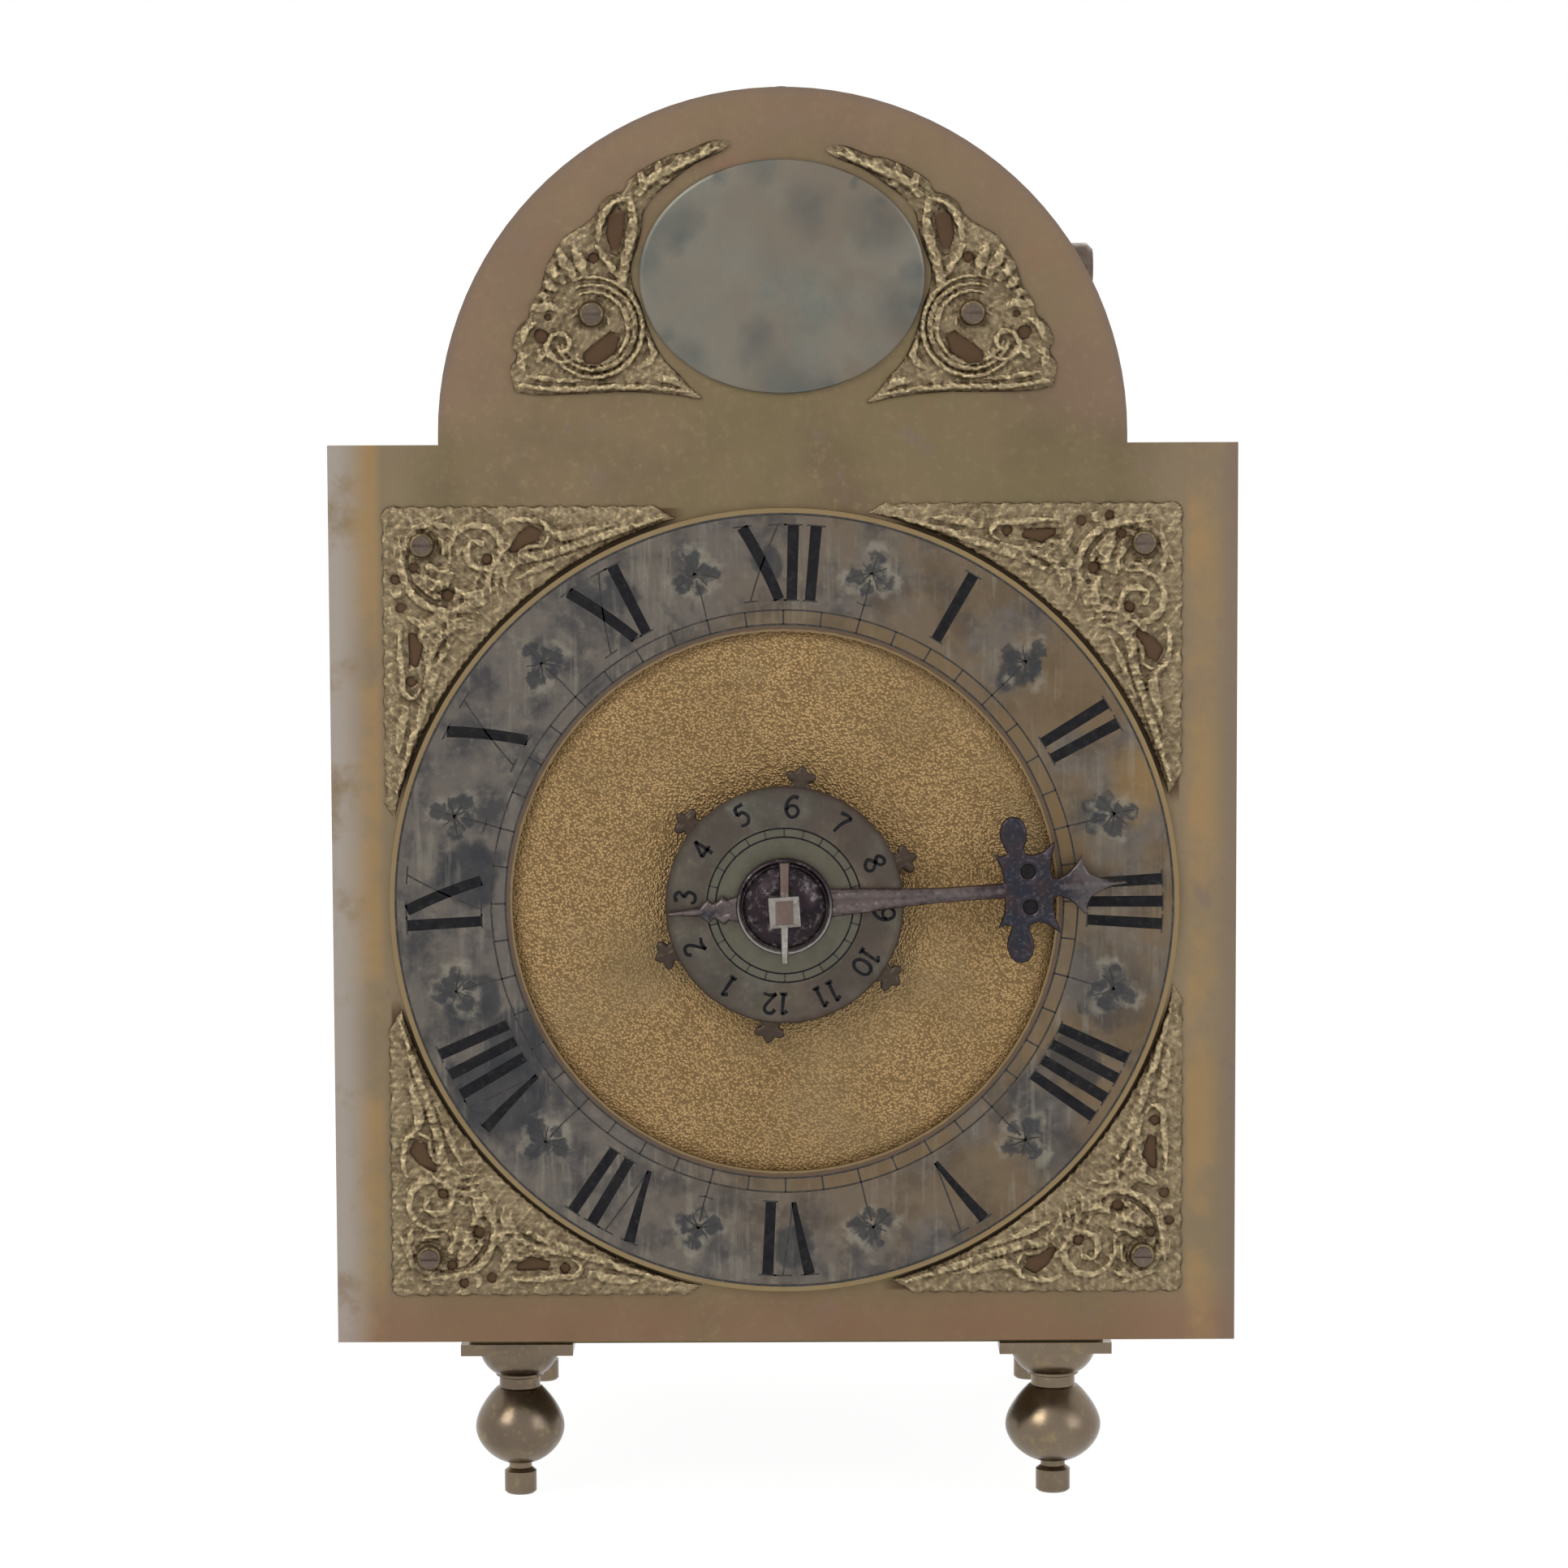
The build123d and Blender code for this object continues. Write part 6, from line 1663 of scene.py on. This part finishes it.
@dataclass
class AlarmDial:
    """Small silvered disc with Arabic hours that run round with their tops outwards."""

    front_mm: float = -73.5
    leaves_back_mm: float = -72.2
    digits_mm: float = 18.1
    twelve_deg: float = 184.8
    track_mm: tuple[float, float] = (14.1, 12.5)
    tips_deg: tuple[float, ...] = (20.5, 82.4, 139.5, 203.0, 263.0, 325.0)

    def digits(self) -> dict[str, tuple[tuple[Point, ...], ...]]:
        """Strokes of the old-style figures, 3.6 mm high, round their own middle."""
        ring = ((0.0, 1.7), (-0.9, 0.9), (-0.9, -0.9), (0.0, -1.7), (0.9, -0.9), (0.9, 0.9), (0.05, 1.7))
        six = (
            (0.9, 1.6), (0.0, 1.7), (-0.8, 0.8), (-1.0, -0.6), (-0.4, -1.7),
            (0.5, -1.7), (1.0, -0.8), (0.5, 0.1), (-0.4, 0.1), (-0.9, -0.6),
        )
        return {
            "0": (ring,),
            "1": (((0.1, -1.8), (0.1, 1.8)), ((-0.7, 1.1), (0.1, 1.8)), ((-0.5, -1.8), (0.7, -1.8))),
            "2": (
                ((-0.9, 1.0), (-0.4, 1.7), (0.5, 1.6), (0.8, 0.8), (0.1, -0.4), (-1.0, -1.7)),
                ((-1.0, -1.7), (0.1, -1.4), (1.1, -1.7)),
            ),
            "3": (
                ((-0.8, 1.4), (0.1, 1.8), (0.8, 1.1), (0.0, 0.2)),
                ((0.0, 0.2), (0.9, -0.5), (0.5, -1.6), (-0.5, -1.7), (-0.9, -1.1)),
            ),
            "4": (((0.4, -1.8), (0.4, 1.8)), ((0.4, 1.8), (-1.1, -0.7)), ((-1.1, -0.7), (1.1, -0.7))),
            "5": (
                ((0.9, 1.8), (-0.5, 1.7)),
                ((-0.5, 1.7), (-0.7, 0.3)),
                ((-0.7, 0.3), (0.3, 0.5), (0.9, -0.5), (0.4, -1.6), (-0.8, -1.6)),
            ),
            "6": (six,),
            "7": (((-1.0, 1.6), (0.0, 1.8), (1.0, 1.7)), ((1.0, 1.7), (0.1, 0.1), (-0.3, -1.8))),
            "8": (
                ((0.0, 0.2), (-0.8, 0.9), (-0.2, 1.7), (0.6, 1.6), (0.7, 0.8), (0.0, 0.2)),
                ((0.0, 0.2), (-0.9, -0.8), (-0.2, -1.7), (0.7, -1.6), (0.9, -0.7), (0.0, 0.2)),
            ),
            "9": (tuple((-x, -z) for x, z in six),),
        }

    def figure(self, wax: Engraver, text: str, degrees: float) -> None:
        """Engrave an hour with its top outwards.

        Args:
            wax: Takes the strokes.
            text: The figures.
            degrees: Where it stands, clockwise from the top.
        """
        angle = math.radians(90 - degrees)
        out = np.array((math.cos(angle), math.sin(angle)))
        right = np.array((math.sin(angle), -math.cos(angle)))
        strokes = self.digits()
        for place, digit in enumerate(text):
            shift = (place - (len(text) - 1) / 2) * 2.5
            for line in strokes[digit]:
                points = smooth_line(line, 4) if len(line) > 2 else np.array(line)
                laid = [out * (self.digits_mm + z * 1.05) + right * (x * 1.12 + shift) for x, z in points]
                wax.stroke([tuple(p) for p in laid], (0.72, 0.52))

    def tip(self) -> Casting:
        """Pointer leaf at the edge, along X with its root at the disc."""
        half = (
            (19.6, 2.2), (21.5, 2.1), (22.4, 1.5), (23.0, 2.5), (24.0, 2.8), (24.5, 2.0),
            (24.4, 1.1), (25.3, 0.6), (25.7, 0.0),
        )
        corners = half + tuple((x, -z) for x, z in half[::-1][1:])
        lines = (
            Rib(((20.0, 0.0), (22.5, 0.0), (24.4, 0.0)), 0.5, 0.25),
            Rib(((23.4, -2.0), (23.1, 0.0), (23.4, 2.0)), 0.4, 0.2),
        )
        return Casting(np.array(corners), lines, base=0.8, edge=0.5, crumple=0.06, step=0.2, seed=2)

    def build(self, finishes: Finishes) -> None:
        """Dress the disc, engrave it and set its six leaves."""
        dress(("alarm_disc",), finishes.disc)
        wax = Engraver(self.front_mm)
        for hour in range(1, 13):
            self.figure(wax, str(hour), self.twelve_deg + 30 * hour)
        for radius in self.track_mm:
            wax.circle(radius, 0.3, 120)
        settle(wax.finish("alarm_figures", finishes.wax), "alarm_disc", "dial_brass")
        middle, length = sum(self.track_mm) / 2, self.track_mm[0] - self.track_mm[1]
        bars = divisions("alarm_divisions", finishes.faint, 24, middle, length, 0.28, self.front_mm)
        settle(bars, "alarm_disc", "dial_brass")
        leaf = self.tip()
        for number, angle in enumerate(self.tips_deg):
            place = Placing(self.leaves_back_mm, HOUR_AXIS, angle)
            piece = leaf.build(f"alarm_leaf_{number + 1}", place, finishes.disc)
            settle(piece, "alarm_disc", "dial_brass")


@dataclass
class HourHand:
    """Blued steel hand: turned boss, long arm, pierced cross with lobes, barbed tip and short tail."""

    back_mm: float = -74.0
    angle_deg: float = 3.8
    boss_mm: float = 8.8
    eyes_mm: tuple[Point, ...] = ((44.5, -3.25), (44.5, 3.25))
    eye_radius_mm: float = 1.25

    def outline(self) -> np.ndarray:
        """Outline of arm, head and tail along X, in millimetres from the hour axis."""
        half = (
            (-21.2, 0.3), (-16.2, 0.75), (-15.4, 0.7), (-14.7, 1.5), (-13.8, 2.1), (-13.0, 1.3),
            (-12.2, 1.7), (-11.2, 2.7), (-10.2, 1.9), (-8.0, 2.4), (0.0, 4.0), (8.0, 2.6), (11.0, 2.35),
            (15.0, 2.15), (20.0, 1.75), (28.0, 1.35), (35.0, 1.3), (39.9, 1.35), (40.0, 2.3), (39.6, 4.4),
            (38.4, 6.9), (39.7, 6.3), (40.9, 6.6), (40.6, 7.6), (40.0, 8.9), (39.8, 10.4), (40.2, 12.0),
            (41.1, 13.1), (42.3, 13.4), (43.5, 13.1), (44.4, 12.0), (44.8, 10.4), (44.6, 8.9), (44.1, 7.6),
            (44.2, 6.6), (45.6, 6.1), (47.4, 6.6), (49.9, 8.6), (49.0, 5.6), (48.6, 3.2), (48.9, 1.8),
            (49.9, 1.6), (51.6, 2.4), (53.2, 3.9), (54.6, 5.6), (54.8, 3.6), (55.6, 2.2), (57.6, 1.15),
            (60.0, 0.5), (62.2, 0.1),
        )
        return np.array(half + tuple((x, -z) for x, z in half[::-1]))

    def casting(self) -> Casting:
        """The flat of the hand with its filed mouldings."""
        rings = [Rib(spiral(eye, 2.1, 2.1, 0, 360, 16), 0.35, 0.07, (1, 1)) for eye in self.eyes_mm]
        arm, leaves = [], []
        for side in (-1, 1):
            along = ((7.5, side * 1.25), (13.0, side * 1.15), (20.0, side * 0.8), (26.0, side * 0.5))
            arm.append(Rib(along, 0.75, 0.4, (1.0, 0.3)))
            edge = ((-10.0, side * 1.0), (-11.6, side * 1.7), (-12.4, side * 0.8))
            leaves.append(Rib(edge, 0.7, 0.4, (0.6, 0.4)))
        middle = (
            Rib(((26.0, 0.0), (33.0, 0.0), (39.6, 0.0)), 0.9, 0.3, (0.6, 0.7)),
            Rib(((50.5, 0.0), (55.0, 0.0), (61.0, 0.0)), 0.7, 0.3, (0.8, 0.2)),
            Rib(((-20.8, 0.0), (-15.5, 0.0)), 0.55, 0.3, (0.7, 0.9)),
            Rib(((14.3, -2.0), (15.1, -2.0)), 0.75, 0.75, (0.9, 0.9)),
        )
        holes = tuple((*eye, self.eye_radius_mm) for eye in self.eyes_mm)
        return Casting(
            self.outline(), (*rings, *arm, *leaves, *middle), holes,
            base=1.35, edge=0.32, crumple=0.05, step=0.2,
        )

    def boss(self, finishes: Finishes) -> Piece:
        """Turned boss with a bead at its rim and a low dome."""
        b = self.boss_mm
        profile = (
            (0, -74.0), (b, -74.0), (b, -75.6), (b - 0.15, -76.1), (b - 0.5, -76.3), (b - 0.85, -76.1),
            (b - 1.0, -75.8), (b - 1.25, -75.8), (b - 1.6, -76.3), (6.2, -77.3), (4.9, -78.0),
            (4.0, -78.35), (3.6, -78.4), (0, -78.4),
        )
        return lathe("hand_boss", profile, HOUR_AXIS, finishes.boss)

    def build(self, finishes: Finishes) -> None:
        """Make the hand, set discs of painted shade in its eyes, and dress its arbor and pin."""
        place = Placing(self.back_mm, HOUR_AXIS, self.angle_deg)
        piece = self.casting().build("hand_arm", place, finishes.blued)
        settle(piece, "hand", "hand_steel", "hour_hand")
        settle(self.boss(finishes), "hand", "hand_steel")
        # painted shade: thin black wax discs in the hand's eyes, where the holes show only shade
        wide, back, front = self.eye_radius_mm + 0.05, self.back_mm - 0.05, self.back_mm - 0.85
        eye_shade_profile = ((0, back), (wide, back), (wide, front), (0, front))
        for eye, name in zip(self.eyes_mm, ("eye_shade_right", "eye_shade_left")):
            x, _, z = place.spots(np.array([eye]), np.zeros(1))[0] / MM
            settle(lathe(name, eye_shade_profile, (x, z), finishes.wax, steps=24), "hand", "hand_steel")
        dress(("hour_arbor", "hand_pin"), finishes.steel)


@dataclass
class Dial:
    """The arched plate with everything fixed to its front."""

    ring: ChapterRing
    corners: CornerCastings
    arch: ArchCastings
    oval: NameOval
    alarm: AlarmDial
    hand: HourHand

    def build(self, finishes: Finishes) -> None:
        """Dress the plate and build what it carries."""
        dress(("dial_plate", "dial_feet"), finishes.sheet)
        dress(("spandrel_screws",), finishes.browned)
        dress(("dial_pins",), finishes.steel)
        for part in (self.ring, self.corners, self.arch, self.oval, self.alarm, self.hand):
            part.build(finishes)


# ---------------------------------------------------------------- case and movement
@dataclass
class Dressed:
    """Solids that keep their shape and take a finish."""

    name: str
    nodes: dict[str, tuple[str, ...]]

    def build(self, finishes: Finishes) -> None:
        """Give each group of solids its finish."""
        for finish, names in self.nodes.items():
            dress(names, getattr(finishes, finish))
        LOG.info("%s: %d solids dressed", self.name, sum(len(names) for names in self.nodes.values()))


def posted_frame() -> Dressed:
    """Plates, pillars, feet, finials and bars."""
    turned = ("front_pillars", "rear_pillars", "front_feet", "rear_feet", "finials")
    return Dressed("frame", {
        "turned": turned,
        "sheet": ("top_plate", "bottom_plate"),
        "iron": ("front_bar", "middle_bar", "back_plate", "back_plate_screws", "hanging_hoop", "spurs"),
    })


def bell_work() -> Dressed:
    """Bell with its crossed straps and bolt."""
    return Dressed("bell", {"bell": ("bell",), "iron": ("bell_straps", "bell_bolt")})


def going_train() -> Dressed:
    """Wheels, arbors and escapement."""
    cut = ("great_wheel", "contrate_wheel", "crown_wheel", "hour_wheel", "friction_spring")
    turned = ("rope_pulley", "crown_potence", "crown_bridge", "pendulum_bob")
    turned += ("verge_cock_front", "verge_cock_rear")
    steel = ("great_arbor", "click", "contrate_arbor", "crown_arbor", "verge", "pendulum_rod")
    return Dressed("going train", {"cut": cut, "turned": turned, "steel": steel})


def alarm_work() -> Dressed:
    """Alarm wheel, pulley, verge, hammer and lever."""
    return Dressed("alarm", {
        "cut": ("alarm_wheel",),
        "turned": ("alarm_pulley",),
        "steel": ("alarm_verge",),
        "browned": ("alarm_hammer",),
        "iron": ("alarm_stud", "alarm_cock", "alarm_lever"),
    })


def side_doors() -> Dressed:
    """The two hinged doors."""
    return Dressed("doors", {"sheet": ("door_left", "door_right")})


def main() -> None:
    """Build the studio, then the clock from the dial to the back."""
    logging.basicConfig(level=logging.INFO, format="%(message)s")
    Studio().build()
    finishes = Finishes.make()
    dial = Dial(ChapterRing(), CornerCastings(), ArchCastings(), NameOval(), AlarmDial(), HourHand())
    dial.build(finishes)
    for part in (posted_frame(), bell_work(), going_train(), alarm_work(), side_doors()):
        part.build(finishes)


if __name__ == "__main__":
    main()
